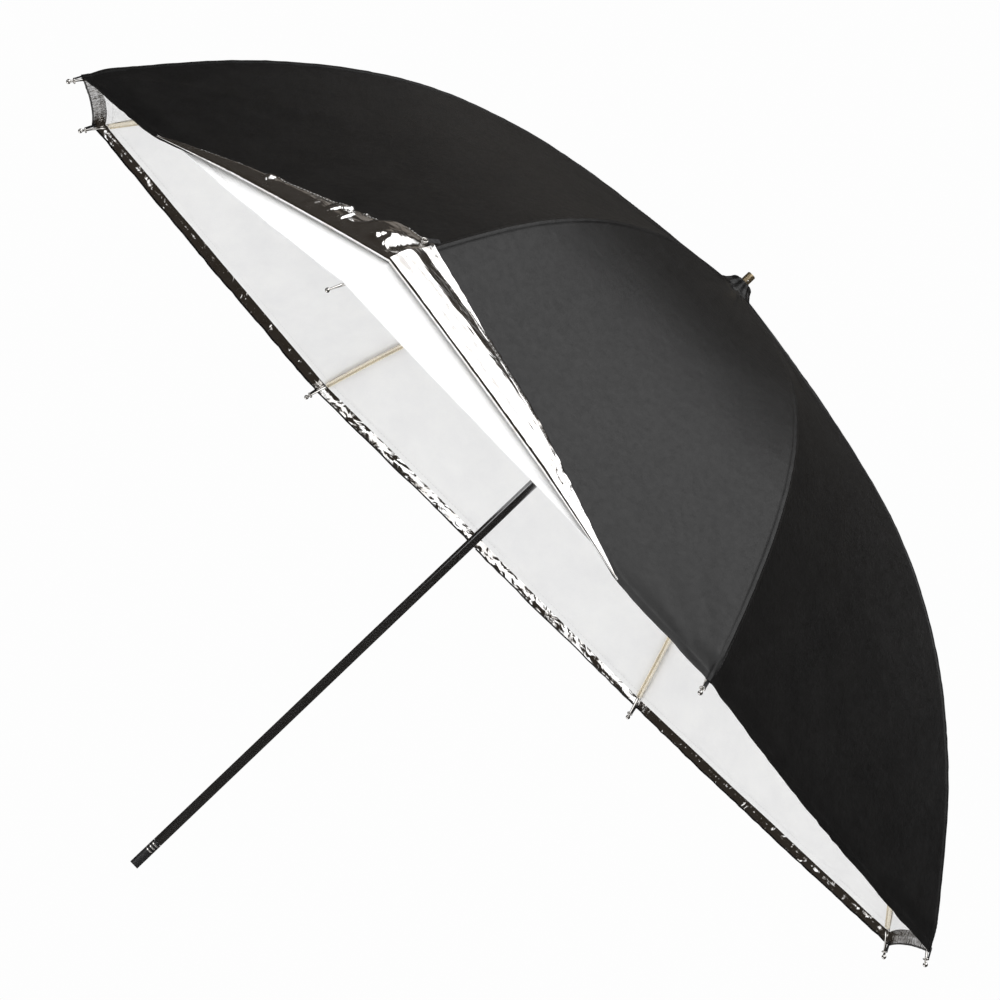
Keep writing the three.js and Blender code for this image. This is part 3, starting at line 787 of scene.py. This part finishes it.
SEAM_STEPS = np.array([0, 0.8, 1.6, 2.4, 3.0, 3.6, 5.0, 8.0])
HEM_STEPS = np.array([0, 0.7, 1.6, 3.0, 4.4, 5.6, 6.3, 7.0, 9.0, 11.5, 14.5, 18.0])
PANEL_STEPS = 26
ROW_PITCH = 4.0
HEM_STITCH = 5.2
STITCH_RISE = 0.45
UV_SHIFT = 500.0


def gore_columns():
    """Places across a gore as (distance from the seam, share of what is left of the half panel)."""
    rest = np.linspace(0, 1, PANEL_STEPS + 1)[1:]
    near = np.concatenate([SEAM_STEPS, np.full(PANEL_STEPS, SEAM_STEPS[-1])])
    share = np.concatenate([np.zeros(len(SEAM_STEPS)), rest])
    sides = np.concatenate([-np.ones(len(near) - 1), np.ones(len(near))])
    return np.concatenate([near[:0:-1], near]), np.concatenate([share[:0:-1], share]), sides


def gore_grid(k, hem, corner):
    """across and s for a grid of rows from the crown to the hem, and each point's distance from the hem."""
    near, share, sides = gore_columns()
    rows = int((corner - HEM_STEPS[-1] - SHEET_START) / ROW_PITCH)
    upper = np.linspace(0, 1, rows, endpoint=False)
    across = np.zeros((rows + len(HEM_STEPS), len(near)))
    s = np.zeros_like(across)
    for _ in range(3):
        edge = hem(k, across)
        top = edge[:rows] - HEM_STEPS[-1] - SHEET_START
        s[:rows] = SHEET_START + upper[:, None] * top
        s[rows:] = edge[rows:] - HEM_STEPS[::-1][:, None]
        half = half_panel(s)
        scale = np.minimum(1, half / 40)
        placed = near * scale + share * (half - SEAM_STEPS[-1] * scale)
        across = sides * placed / half
    return across, s, hem(k, across) - s


def cloth_uv(k, across, s):
    """Lengths along the cloth, moved on for each gore so that no two look alike."""
    return np.stack([across * half_panel(s) + UV_SHIFT * k, s], -1)


def add_stitches(shape, places, ahead, up, slot, length=2.3, width=0.55, height=0.3):
    """Sewn stitches: slim bodies with pointed ends, one at each place."""
    ahead = ahead / np.linalg.norm(ahead, axis=-1, keepdims=True)
    side = np.cross(up, ahead)
    side /= np.linalg.norm(side, axis=-1, keepdims=True)
    up = np.cross(ahead, side)
    ring = ((1, 0), (0, 1), (-1, 0), (0, -1))
    corners = [(-0.5, 0, 0), *((a, w, h) for a in (-0.28, 0.28) for w, h in ring), (0.5, 0, 0)]
    points = [places + ahead * a * length + side * w * width / 2 + up * h * height / 2 for a, w, h in corners]
    points = np.stack(points, 1).reshape(-1, 3)
    template = [(0, i, i % 4 + 1) for i in range(1, 5)]
    template += [(9, i % 4 + 5, i + 4) for i in range(1, 5)]
    template += [(i, i + 4, i % 4 + 5, i % 4 + 1) for i in range(1, 5)]
    faces = []
    for first in range(0, len(points), len(corners)):
        faces += [[first + i for i in face] for face in template]
    shape.add_mixed(points, faces, slot)


def row_of_stitches(shape, curve, up_vectors, pitch, slot, **sizes):
    """Stitches along a curve of points, each upright on the matching up vector."""
    steps = np.linalg.norm(np.diff(curve, axis=0), axis=1)
    walked = np.concatenate([[0], np.cumsum(steps)])
    at = np.arange(pitch / 2, walked[-1], pitch)

    def along(values, distance):
        return np.stack([np.interp(distance, walked, values[:, i]) for i in range(3)], -1)

    ahead = along(curve, at + 0.5) - along(curve, at - 0.5)
    add_stitches(shape, along(curve, at), ahead, along(up_vectors, at), slot, **sizes)


def sheet_up(k, across, s):
    """The way out of the sheet at a place."""
    slope = on_rib(k, s)[2]
    turn = across * PITCH / 2
    return np.stack([np.sin(slope) * np.cos(turn), np.sin(slope) * np.sin(turn), np.cos(slope)], -1)


def flat_area(hem, k):
    """A gore's area before it is sewn, in square metres."""
    across = np.linspace(-1, 1, 41)
    length = hem(k, across) - SHEET_START
    s = np.linspace(SHEET_START, COVER_CORNER, 300)
    mean_hem = SHEET_START + length.mean()
    return float(np.trapz(np.where(s < mean_hem, 2 * half_panel(s), 0), s)) * MM * MM


def gore_flat(hem, k):
    """A gore's greatest width and its length before it is sewn, in metres."""
    width = 2 * float(half_panel(COVER_CORNER)) * MM
    length = (float(hem(k, np.array([0.0]))[0]) - SHEET_START) * MM
    return width, length


def squash_to_rib(piece):
    """Gives the piece its own copy of its mesh."""
    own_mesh(piece)


def make_canopy_gore(k):
    """The white cloth beside rib k, with its seam and two rows of stitches round its hem."""
    across, s, below = gore_grid(k, canopy_hem, CANOPY_CORNER)
    top = canopy_top(k, across, s)
    band = hem_band(below, 0.35)
    seam = seam_relief(across, s, CANOPY_SEAM)
    off_rib = fade(np.abs(across) * half_panel(s), 6, 40)
    wave = 0.5 * lattice_noise((k + across / 2) * 14, 0.2, 16, 112) * np.exp(-below / 25) * off_rib
    shape = Shape()
    outer = on_sheet(k, across, s, top + band + wave)
    inner = on_sheet(k, across, s, top - CLOTH - seam - band * 0.6 + wave)
    add_shell(shape, outer, inner, (0, 0, 0), cloth_uv(k, across, s))
    line = across[-1]
    at = canopy_hem(k, line) - HEM_STITCH
    for rise, sign in ((CLOTH + STITCH_RISE, 1), (-0.3, -1)):
        curve = on_sheet(k, line, at, canopy_lift(at) + rise)
        row_of_stitches(shape, curve, sign * sheet_up(k, line, at), 3.4, 1)
    name = RIB_NAMES[k]
    piece = make(shape, f"canopy_{name}_cloth", [WHITE, WHITE_THREAD], f"rib_{name}_arm",
                 f"canopy_gore_{name}", k)
    gore_flat(canopy_hem, k)
    flat_area(canopy_hem, k)
    squash_to_rib(piece)


def make_cover_gore(k):
    """The black and silver cloth beside rib k, with a row of stitches on either side of its seam."""
    across, s, below = gore_grid(k, cover_hem, COVER_CORNER)
    folded = fade(folded_share(k, across), 0.5, 6)
    edge = hem_relief(k, across, below) * (1 - folded)
    seam = seam_relief(across, s, COVER_SEAM)
    inside = cover_lift(s) + cover_relief(k, across, s) + edge - seam * 0.5
    canopy_end = canopy_hem(k, across)
    over_canopy = 1 - fade(s, canopy_end - 1, canopy_end + 3)
    inside = np.maximum(inside, (canopy_top(k, across, s) + 0.25) * over_canopy)
    shape = Shape()
    outer = on_sheet(k, across, s, inside + CLOTH + seam * 1.5)
    inner = on_sheet(k, across, s, inside)
    turned_in = (below[:-1, :-1] < 2.6) & (folded[:-1, :-1] < 0.5)
    add_shell(shape, outer, inner, (0, np.where(turned_in, 0, 1).ravel(), 0), cloth_uv(k, across, s))
    for side in (-1, 1):
        run = np.linspace(24, float(cover_hem(k, np.array([0.0]))[0]) - 4, 260)
        beside = side * 2.1 / half_panel(run)
        lift = cover_lift(run) + CLOTH + STITCH_RISE + cover_relief(k, beside, run)
        row_of_stitches(shape, on_sheet(k, beside, run, lift), sheet_up(k, beside, run), 3.6, 2)
    name = RIB_NAMES[k]
    piece = make(shape, f"cover_{name}_cloth", [BLACK, SILVER, BLACK_THREAD], f"rib_{name}_arm",
                 f"cover_gore_{name}", k)
    gore_flat(cover_hem, k)
    flat_area(cover_hem, k)
    squash_to_rib(piece)


# ---- the folded corner

FLAP_COLUMNS = 420
ROLL_STEPS = 9
FLAP_ROWS = 52
PANEL_WIDTH = 400
FLAP_REST = 1.0
HOLLOW_FROM_HEM = 22
STEP_WIDTH = 21
PUFF = 4.6
BULGE = 8.5
CREASE_AT = 9
CREASE_DEPTH = 0.5
FLAP_STITCH = 4.0


def flap_height(share, up, depth, radius):
    """How high the folded corner lies on the cover: on the roll at the fold, and pressed flat at its hem."""
    roll = 2 * radius - FLAP_REST
    # towards rib c: a puff, a thin crease along it, and a step down to the hem
    hollow_at = HOLLOW_FROM_HEM * np.clip(1 - share / 0.42, 0, 1) + 1
    puff = PUFF * np.clip(depth / 30, 0, 1) * fade(up, 1, 22)
    step = (roll + puff) * np.clip((depth - up - hollow_at + 10) / STEP_WIDTH, 0, 1)
    crease = CREASE_DEPTH * np.exp(-(((up - CREASE_AT) / 0.8) ** 2)) * (1 - fade(share, 0.5, 0.58))
    # towards rib a: a soft fall to the hem, and a crumpled bulge close to rib b
    way_up = np.clip(up / np.maximum(depth, 1), 0, 1)
    arch = np.sin(math.pi * way_up)
    fall = roll * (1 - fade(way_up, 0.35, 1)) + 1.5 * arch * np.clip(depth / 20, 0, 1)
    bulge = BULGE * np.exp(-(((share + 0.09) / 0.05) ** 2)) * arch**0.6
    towards_c = fade(share, -0.02, 0.04)
    lie = (step - crease) * towards_c + (fall + bulge) * (1 - towards_c)
    return FLAP_REST + roll + (lie - roll + flap_crinkle(share, up, depth)) * fade(up, 0, 5)


def flap_crinkle(share, up, depth):
    """Soft folds all over, sharp ones beside rib b, knuckles towards rib a, and puckers at the hem."""
    across = share * PANEL_WIDTH
    beside_a = 1 - fade(share, -0.2, -0.12)
    soft = lattice_noise(across / 34, up / 60, 21) + 0.4 * lattice_noise(across / 14 + up / 30, up / 40, 22)
    sharp = ridged(lattice_noise(across / 15 - up / 35, up / 24, 23))
    beside_b = fade(share, -0.24, -0.1) * (1 - fade(share, -0.02, 0.04))
    fine = lattice_noise(across / 4, up / 6, 24)
    near_c = fade(share, 0.44, 0.54)
    pucker = lattice_noise(across / 5, up * 0, 25) * np.exp(-np.maximum(depth - up, 0) / 5)
    streaks = lattice_noise(across / 45, up / 4, 26) * fade(up, 9, 16) * (1 - fade(share, -0.2, -0.1))
    knuckles = np.maximum(0, lattice_noise(across / 9, up / 50, 27) - 0.35) * beside_a
    relief = 0.3 * soft * (1 - 0.6 * fade(share, 0, 0.05)) + 2.6 * sharp * beside_b
    relief = relief + (0.04 + 0.6 * near_c + 0.16 * beside_a) * fine + 0.6 * pucker + 0.6 * streaks
    relief = relief + 5.5 * knuckles
    return relief * fade(up, 0, 8) * np.clip(depth / 14, 0, 1)


def make_flap():
    """The cover rolls over at the fold and lies back on itself, silver side out."""
    share = np.linspace(-FOLD_TO_A + 0.01, FOLD_TO_C - 0.01, FLAP_COLUMNS)[None, :]
    depth = fold_depth(share)
    radius = roll_radius(depth)
    fold = hem_at(COVER_CORNER, HEM_DIPS[panel_at(FOLDED, share)], np.abs(share)) - depth - radius
    roll = np.linspace(0, math.pi, ROLL_STEPS)[:, None]
    flat = np.linspace(0, 1, FLAP_ROWS)[1:, None]
    middle = COVER_LIFT + CLOTH / 2 + 0.2
    s_roll = fold + radius * np.sin(roll)
    depth = depth - radius
    up = flat * depth
    s_flat = fold - up
    lift_roll = middle + radius * (1 - np.cos(roll))
    lift_flat = middle + flap_height(share, up, depth, radius)
    band = 0.3 * (1 - fade(depth - up, 5.5, 6.5))
    s = np.concatenate([s_roll, np.broadcast_to(s_flat, lift_flat.shape)])
    lift = np.concatenate([lift_roll, lift_flat])
    half = CLOTH / 2
    out_s = np.concatenate([half * np.sin(roll) * np.ones_like(share), np.zeros_like(lift_flat)])
    out_lift = np.concatenate([-half * np.cos(roll) * np.ones_like(share), half + band])
    across = np.broadcast_to(2 * share, s.shape)
    silver = on_sheet(FOLDED, across, s + out_s, lift + out_lift)
    black = on_sheet(FOLDED, across, s - out_s, lift - out_lift)
    shape = Shape()
    far = np.full((ROLL_STEPS, FLAP_COLUMNS), np.inf)
    from_hem = np.concatenate([far, np.broadcast_to(depth - up, lift_flat.shape)])
    edge_black = from_hem[:-1, :-1] < 1.6
    uv = np.stack([across * PANEL_WIDTH / 2, COVER_CORNER - s], -1)
    # the roll's outer side is the silver one, because the cover turns its inside out at the fold
    add_shell(shape, silver, black, (np.where(edge_black, 0, 1).ravel(), 0, 0), uv)
    line = share[0]
    at = (fold - depth + FLAP_STITCH)[0]
    keep = depth[0] > 9
    curve_lift = (middle + half + 0.4 + flap_height(share, depth - FLAP_STITCH, depth, radius))[0]
    curve = on_sheet(FOLDED, 2 * line, at, curve_lift)[keep]
    row_of_stitches(shape, curve, sheet_up(FOLDED, 2 * line, at)[keep], 3.2, 2, width=0.6)
    piece = make(shape, "cover_folded_corner", [BLACK, SMOOTH_SILVER, THREAD], "rib_b_arm", "cover_flap",
                 FOLDED)
    squash_to_rib(piece)


# ---- ribs, tips and stretchers

CHANNEL_HALF_WIDTH = 2.0
CHANNEL_HALF_DEPTH = 1.8
CHANNEL_WALL = 0.8
CHANNEL_BEND = 0.9
EDGE = 0.2
BALL_RADIUS = 2.0
CHEEK_RADIUS = 1.9
CHEEK_FACES = (2.3, 3.05)
# half of a stretcher's channel as (side, up) pairs, from its top to its inner edge
STRETCHER_HALF = ((0.7, 1.5), (1.1, 1.1), (1.1, -1.5), (0.6, -1.5), (0.6, 0.7))
ACROSS = Matrix.Rotation(math.pi / 2, 4, "X")


def channel_outline():
    """The rib's open channel as (side, up) pairs, with rounded edges, open towards the shaft."""
    half, depth, bend = CHANNEL_HALF_WIDTH, CHANNEL_HALF_DEPTH, CHANNEL_BEND
    points = []
    for side, start in ((1, 0), (-1, 90)):
        for turn in range(start, start + 91, 18):
            points.append((side * (half - bend) + bend * math.cos(turn * DEG),
                           depth - bend + bend * math.sin(turn * DEG)))
    inside, ceiling = half - CHANNEL_WALL, depth - CHANNEL_WALL
    left = [(-half, EDGE - depth), (EDGE - half, -depth), (-inside - EDGE, -depth), (-inside, EDGE - depth),
            (-inside, ceiling - 2 * EDGE), (2 * EDGE - inside, ceiling)]
    return np.array(points + left + [(-side, up) for side, up in left[::-1]])


def add_eye(shape, x, z, radius=2.2, hole=0.95, width=2.0):
    """A flat ring on an axis along Y."""
    half = width / 2
    profile = [(hole, -half), (radius - 0.25, -half), (radius, -half + 0.25), (radius, half - 0.25),
               (radius - 0.25, half), (hole, half)]
    add_turned(shape, profile, Matrix.Translation((x, 0, z)) @ ACROSS, 32, ring=True)


def make_rib(k):
    """A bent channel, with a solid neck that ends in the eye on the crown's wire."""
    shape = Shape()
    outline = channel_outline()
    run = np.linspace(20, RIB_LENGTH - TIP_LENGTH - FIT_GAP, 150)[:, None]
    rings = rib_points(k, run, outline[None, :, 0], outline[None, :, 1])
    add_sweep(shape, rings)
    neck = np.linspace(1.6, 22.5, 9)[:, None]
    bar = rounded_outline(1.0, 1.2, 0.4)
    add_sweep(shape, rib_points(k, neck, bar[None, :, 0], bar[None, :, 1]))
    add_eye(shape, PIVOT_RADIUS, CROWN_PIVOT_Z)
    name = RIB_NAMES[k]
    make(shape, f"rib_{name}_channel", [NICKEL_AND_PAINTED_REFLECTION], f"rib_{name}_arm", f"rib_{name}", k)


def tip_place(k):
    """From a turned part along +Z, with the ball's centre at TIP_LENGTH, to the end of rib k."""
    r, z, slope = (float(v) for v in on_rib(k, RIB_LENGTH))
    return (Matrix.Translation((r, 0, z)) @ Matrix.Rotation(math.pi / 2 + slope, 4, "Y")
            @ Matrix.Translation((0, 0, -TIP_LENGTH)))


def make_tip(k):
    """A socket, a thin cone and a ball."""
    shape = Shape()
    profile = [(NEAR_AXIS, 0), (1.5, 0), (1.75, 0.2), (1.9, 0.8), (1.9, 4.6), (1.75, 5.4), (1.45, 6.4),
               (1.3, 8.0), (1.28, 12), (1.15, 13), (1.05, 16), (0.95, 22.9), (1.1, 23.3)]
    for turn in range(-50, 90, 14):
        profile.append((BALL_RADIUS * math.cos(turn * DEG), TIP_LENGTH + BALL_RADIUS * math.sin(turn * DEG)))
    profile.append((NEAR_AXIS, TIP_LENGTH + BALL_RADIUS))
    add_turned(shape, profile, tip_place(k), 28)
    name = RIB_NAMES[k]
    make(shape, f"tip_{name}_ball_end", [WIRE], f"rib_{name}_arm", f"rib_tip_{name}", k, 50)


def make_stretcher(k):
    """A channel with an eye at the runner, and at the rib a fork of two cheeks with a rivet through them."""
    shape = Shape()
    joint = np.array([JOINT_R, 0, JOINT_Z])
    eye = np.array([PIVOT_RADIUS, 0, RUNNER_PIVOT_Z])
    along = (eye - joint) / STRETCHER_LENGTH
    up = np.array([-along[2], 0, along[0]])
    up = up if up[2] > 0 else -up
    section = np.array([*((-side, rise) for side, rise in STRETCHER_HALF), *STRETCHER_HALF[::-1]])
    add_bar(shape, joint + along * 10, eye - along * 1.4, up, section)
    add_bar(shape, joint + along * 9, joint + along * 13, up, rounded_outline(3.0, 1.4, 0.6))
    for side in (-1, 1):
        cheek = []
        for turn in range(90, 271, 20):
            cheek.append(CHEEK_RADIUS * (along * math.cos(turn * DEG) + up * math.sin(turn * DEG)))
        cheek += [along * 11 - up * 1.4, along * 11 + up * 1.4]
        add_sweep(shape, [np.array(cheek) + joint + [0, side * face, 0] for face in CHEEK_FACES])
    head = [(NEAR_AXIS, 4.0), (0.9, 3.9), (1.3, 3.55), (1.4, 3.1), (0.8, 3.05)]
    pin = [(radius, -height) for radius, height in head] + head[::-1]
    add_turned(shape, pin, Matrix.Translation(joint.tolist()) @ ACROSS, 24)
    add_eye(shape, PIVOT_RADIUS, RUNNER_PIVOT_Z)
    name = RIB_NAMES[k]
    make(shape, f"stretcher_{name}_fork", [NICKEL_AND_PAINTED_REFLECTION], f"stretcher_{name}_arm", f"stretcher_{name}",
         k)


# ---- shaft pieces

SHAFT_RADIUS = 4.0
SHAFT_BORE = 3.2
SLIDE_BORE = SHAFT_RADIUS + FIT_GAP
PLUG_RADIUS = 2.8
PLUG_LENGTH = 12
SLOT_HALF_WIDTH = 1.45
SLOT_FLOOR = 8.8
CATCH_SLOT = 1.1
CLEAR = 30
TAIL_LENGTH = 26.0
TAIL_GROOVES = (17, 20.3, 23.5)
TUBE_TOP = 672.0
SHAFT_TOP = 694.5


def cut_by(piece, cutters):
    """Cuts closed shapes out of a piece, and applies the cut."""
    for number, shape in enumerate(cutters):
        cutter = make(shape, f"cutter_{number}", [], None, None)
        cut = piece.modifiers.new("cut", "BOOLEAN")
        cut.operation = "DIFFERENCE"
        cut.solver = "EXACT"
        cut.object = cutter
        graph = bpy.context.evaluated_depsgraph_get()
        mesh = bpy.data.meshes.new_from_object(piece.evaluated_get(graph))
        piece.modifiers.clear()
        piece.data = mesh
        bpy.data.objects.remove(cutter)
    piece.data.polygons.foreach_set("use_smooth", np.ones(len(piece.data.polygons), bool))
    piece.data.set_sharp_from_angle(angle=35 * DEG)


def block_shape(x0, x1, half, z0, z1, turn):
    """A block from x0 to x1, half on either side and z0 to z1, turned about the shaft."""
    shape = Shape()
    plan = ((x0, -half), (x1, -half), (x1, half), (x0, half))
    corners = np.array([(x, y, z) for z in (z0, z1) for x, y in plan])
    add_sweep(shape, turned_about_z(corners, turn).reshape(2, 4, 3))
    return shape


def slots_shape(pivot_z):
    """Eight radial slots for the eyes of the ribs or stretchers, right through the wheel."""
    shape = Shape()
    for k in range(len(RIB_NAMES)):
        part = block_shape(SLOT_FLOOR, CLEAR, SLOT_HALF_WIDTH, pivot_z - 7, pivot_z + 11, k * PITCH)
        shape.add_mixed(part.points[0], part.faces)
    return shape


def wheel_profile(pivot_z):
    """The notched wheel round its wire's height, from the bore outwards, with the wire's groove."""
    outside, groove, mouth = 13.5, 11.1, 0.9
    profile = [(SLIDE_BORE, -WHEEL_BELOW), (12.6, -WHEEL_BELOW), (13.2, -3.2), (outside, -2.6),
               (outside, -mouth - EDGE), (outside - EDGE, -mouth), (groove, -mouth),
               (groove, mouth), (outside - EDGE, mouth), (outside, mouth + EDGE),
               (outside, 1.8), (13.1, WHEEL_ABOVE), (SLIDE_BORE, WHEEL_ABOVE)]
    return [(radius, pivot_z + height) for radius, height in profile]


def make_hub():
    shape = Shape()
    add_turned(shape, wheel_profile(CROWN_PIVOT_Z), sides=96, ring=True)
    piece = make(shape, "hub_notched_wheel", [PLASTIC], "shaft", "crown_hub")
    cut_by(piece, [slots_shape(CROWN_PIVOT_Z)])


def make_runner():
    """A grooved sleeve with a notched wheel on top, and a guide slot for the catch inside it."""
    shape = Shape()
    wheel = wheel_profile(RUNNER_PIVOT_Z)
    sleeve = [(SLIDE_BORE, 0), (7.2, 0), (7.8, 0.4), (8.0, 1.0)]
    for groove in (2.2, 3.8, 5.4):
        sleeve += [(8.0, groove - 0.4), (7.7, groove), (8.0, groove + 0.4)]
    sleeve += [(8.0, 6.8), (7.8, 7.3), (6.7, 9.6), (6.5, 10.4), (6.5, wheel[0][1] - RUNNER_FOOT)]
    sleeve = [(radius, RUNNER_FOOT + height) for radius, height in sleeve]
    add_turned(shape, sleeve + wheel[1:], sides=96, ring=True)
    piece = make(shape, "runner_sleeve", [PLASTIC], "runner", "runner")
    guide = block_shape(0, CLEAR, CATCH_SLOT, RUNNER_FOOT + 7, RUNNER_FOOT + 90, PITCH / 2)
    cut_by(piece, [slots_shape(RUNNER_PIVOT_Z), guide])


def make_wire_ring(pivot_z, name, body, node):
    shape = Shape()
    add_ring(shape, Matrix.Translation((0, 0, pivot_z)), 0, PIVOT_RADIUS, 0.6, 96)
    make(shape, name, [WIRE], body, node)


def make_shaft():
    """The tube, with a slot for the catch."""
    shape = Shape()
    start = TAIL_LENGTH + FIT_GAP
    profile = [(SHAFT_BORE, start), (SHAFT_RADIUS - EDGE, start), (SHAFT_RADIUS, start + 0.3),
               (SHAFT_RADIUS, TUBE_TOP - EDGE), (SHAFT_RADIUS - EDGE, TUBE_TOP), (SHAFT_BORE, TUBE_TOP)]
    add_turned(shape, profile, sides=64, ring=True)
    piece = make(shape, "shaft_lacquered_tube", [LACQUER], "shaft", "shaft_tube")
    cut_by(piece, [block_shape(0, 9, CATCH_SLOT, RUNNER_FOOT - 11, RUNNER_FOOT, PITCH / 2)])


def make_tail_cap():
    """A black cap with a bright disc in its end and a bright ring in each of its grooves."""
    edge, floor = 4.1, 3.7
    profile = [(NEAR_AXIS, 0.3), (3.5, 0.3), (3.6, 0.02), (3.9, 0.02), (edge, 0.3)]
    shape = Shape()
    add_turned(shape, [(NEAR_AXIS, 0.1), (3.3, 0.1), (3.45, 0.5), (NEAR_AXIS, 0.5)], slot=1)
    for z in TAIL_GROOVES:
        profile += [(edge, z - 0.7), (floor, z - 0.6), (floor, z + 0.6), (edge, z + 0.7)]
        ring = [(floor - 0.1, z - 0.5), (edge - 0.1, z - 0.5), (edge + 0.05, z - 0.3), (edge + 0.05, z + 0.3),
                (edge - 0.1, z + 0.5), (floor - 0.1, z + 0.5)]
        add_turned(shape, ring, sides=64, slot=1, ring=True)
    profile += [(edge, TAIL_LENGTH - 0.3), (SHAFT_RADIUS, TAIL_LENGTH), (PLUG_RADIUS, TAIL_LENGTH),
                (PLUG_RADIUS, TAIL_LENGTH + PLUG_LENGTH), (NEAR_AXIS, TAIL_LENGTH + PLUG_LENGTH)]
    add_turned(shape, profile, sides=64)
    make(shape, "tail_cap_turned", [PLASTIC, WIRE], "shaft", "tail_cap")


def make_ferrule():
    """The shaft's upper end, with a plug in the tube."""
    shape = Shape()
    low, foot = TUBE_TOP - PLUG_LENGTH, TUBE_TOP + FIT_GAP
    profile = [(NEAR_AXIS, low), (PLUG_RADIUS, low), (PLUG_RADIUS, foot), (3.8, foot),
               (3.8, SHAFT_TOP - 1.0), (3.65, SHAFT_TOP - 0.4), (3.2, SHAFT_TOP), (NEAR_AXIS, SHAFT_TOP)]
    add_turned(shape, profile)
    make(shape, "ferrule_turned", [BRASS], "shaft", "ferrule")


def make_pin(name, node, radius, length, z):
    """A pin across the shaft."""
    shape = Shape()
    half = length / 2
    end = [(radius, half - 0.3), (radius - 0.3, half), (NEAR_AXIS, half)]
    profile = [(side, -height) for side, height in end[::-1]] + end
    add_turned(shape, profile, Matrix.Translation((0, 0, z)) @ ACROSS, 24)
    make(shape, name, [WIRE], "shaft", node)


def make_catch():
    """A sprung steel blade whose nose stands out under the runner."""
    top = RUNNER_FOOT - FIT_GAP
    outline = [(1.2, top - 30), (2.2, top - 30), (2.2, top - 9), (6.2, top - 3.3), (6.45, top - 2.8),
               (6.45, top - 0.3), (6.2, top), (1.2, top)]
    rings = [[(x, y, z) for x, z in outline] for y in (-0.8, 0.8)]
    shape = Shape()
    add_sweep(shape, turned_about_z(np.array(rings), PITCH / 2))
    make(shape, "catch_spring_blade", [WIRE], "catch", "runner_catch")


# ---- collar and tabs

COLLAR_PLEATS = 11
COLLAR_INSET = 0.63
# (share of the way up, radius, height)
COLLAR_PROFILE = ((0, 20.0, 673.4), (0.14, 17.6, 675.4), (0.34, 14.2, 677.6), (0.58, 10.9, 680.9),
                  (0.76, 9.3, 683.9), (0.9, 7.2, 685.6), (1, 5.4, 685.4))
LOOSE_TAB_TURN = -27 * DEG


def make_collar():
    """The cover's gathered collar: deep folds that spread onto the cloth, drawn tight round the ferrule."""
    around = np.linspace(0, 2 * math.pi, 241)[:-1, None]
    rise = np.linspace(0, 1, 30)
    pleats = np.cos(around * COLLAR_PLEATS + 0.8 * np.sin(3 * around))
    folds = 0.6 * lattice_noise(around / (2 * math.pi) * 13, rise * 1.2, 31, 13) + 0.4 * pleats
    stops, radii, heights = zip(*COLLAR_PROFILE)
    swell = np.sin(math.pi * np.clip(rise * 1.05, 0, 1)) ** 0.7
    radius = np.interp(rise, stops, radii) + 1.1 * folds * swell
    height = np.interp(rise, stops, heights) + 0.9 * folds * swell
    # each ring runs up the outside and comes down the inside
    radius = np.concatenate([radius, radius[:, ::-1] - COLLAR_INSET], 1)
    height = np.concatenate([height, height[:, ::-1] - COLLAR_INSET], 1)
    shape = Shape()
    add_sweep(shape, np.stack([radius * np.cos(around), radius * np.sin(around), height], -1), closed=True)
    piece = make(shape, "collar_gathered_cloth", [BLACK], "shaft", "cover_collar", sharp=60)


def make_tab(k):
    """A doubled webbing strap sewn to the cover's corner, with its eyelet."""
    shape = Shape()
    if k == FOLDED:
        r, z, slope = (float(v) for v in on_rib(k, COVER_CORNER - 2 * FOLD_DEPTH, LOOSE_TAB_LIFT))
        place = Matrix.Translation((r, 0, z)) @ Matrix.Rotation(slope, 4, "Y")
        place = place @ Matrix.Rotation(LOOSE_TAB_TURN, 4, "Z")
        start = place @ Matrix.Translation((-3, 0, 0))
        end = place @ Matrix.Translation((8.2, 0, 0))
        up = place.col[2]
        add_ring(shape, place @ Matrix.Translation((10, 0, 0)), 1)
        width = 2.5
    else:
        # the strap runs out along the tip's shank from the cover's corner, and its eyelet is round the shank
        place = tip_place(k)
        start = place @ Matrix.Translation((-3.3, 0, TIP_LENGTH - 14))
        end = place @ Matrix.Translation((-1.7, 0, TIP_LENGTH - 4.6))
        up = -place.col[0]
        add_ring(shape, place @ Matrix.Translation((0, 0, TIP_LENGTH - 4.5)), 1, 1.95, 0.6)
        width = 1.5
    add_bar(shape, start.translation, end.translation, up[:3], rounded_outline(width, 0.45, 0.3))
    name = RIB_NAMES[k]
    make(shape, f"tab_{name}_strap", [WEBBING, WIRE], f"rib_{name}_arm", f"cover_tab_{name}",
         k)


for k in range(len(RIB_NAMES)):
    make_rib(k)
    make_tip(k)
    make_stretcher(k)
    make_tab(k)
    make_canopy_gore(k)
    make_cover_gore(k)
make_flap()
make_collar()
make_hub()
make_runner()
make_wire_ring(CROWN_PIVOT_Z, "crown_ring_wire", "shaft", "crown_wire_ring")
make_wire_ring(RUNNER_PIVOT_Z, "runner_ring_wire", "runner", "runner_wire_ring")
make_shaft()
make_tail_cap()
make_ferrule()
make_pin("ferrule_cross_pin", "ferrule_pin", 0.75, 8.2, 688)
make_pin("runner_stop_pin", "stop_pin", 1.0, 12.5, RUNNER_TOP + 1.3)
make_catch()
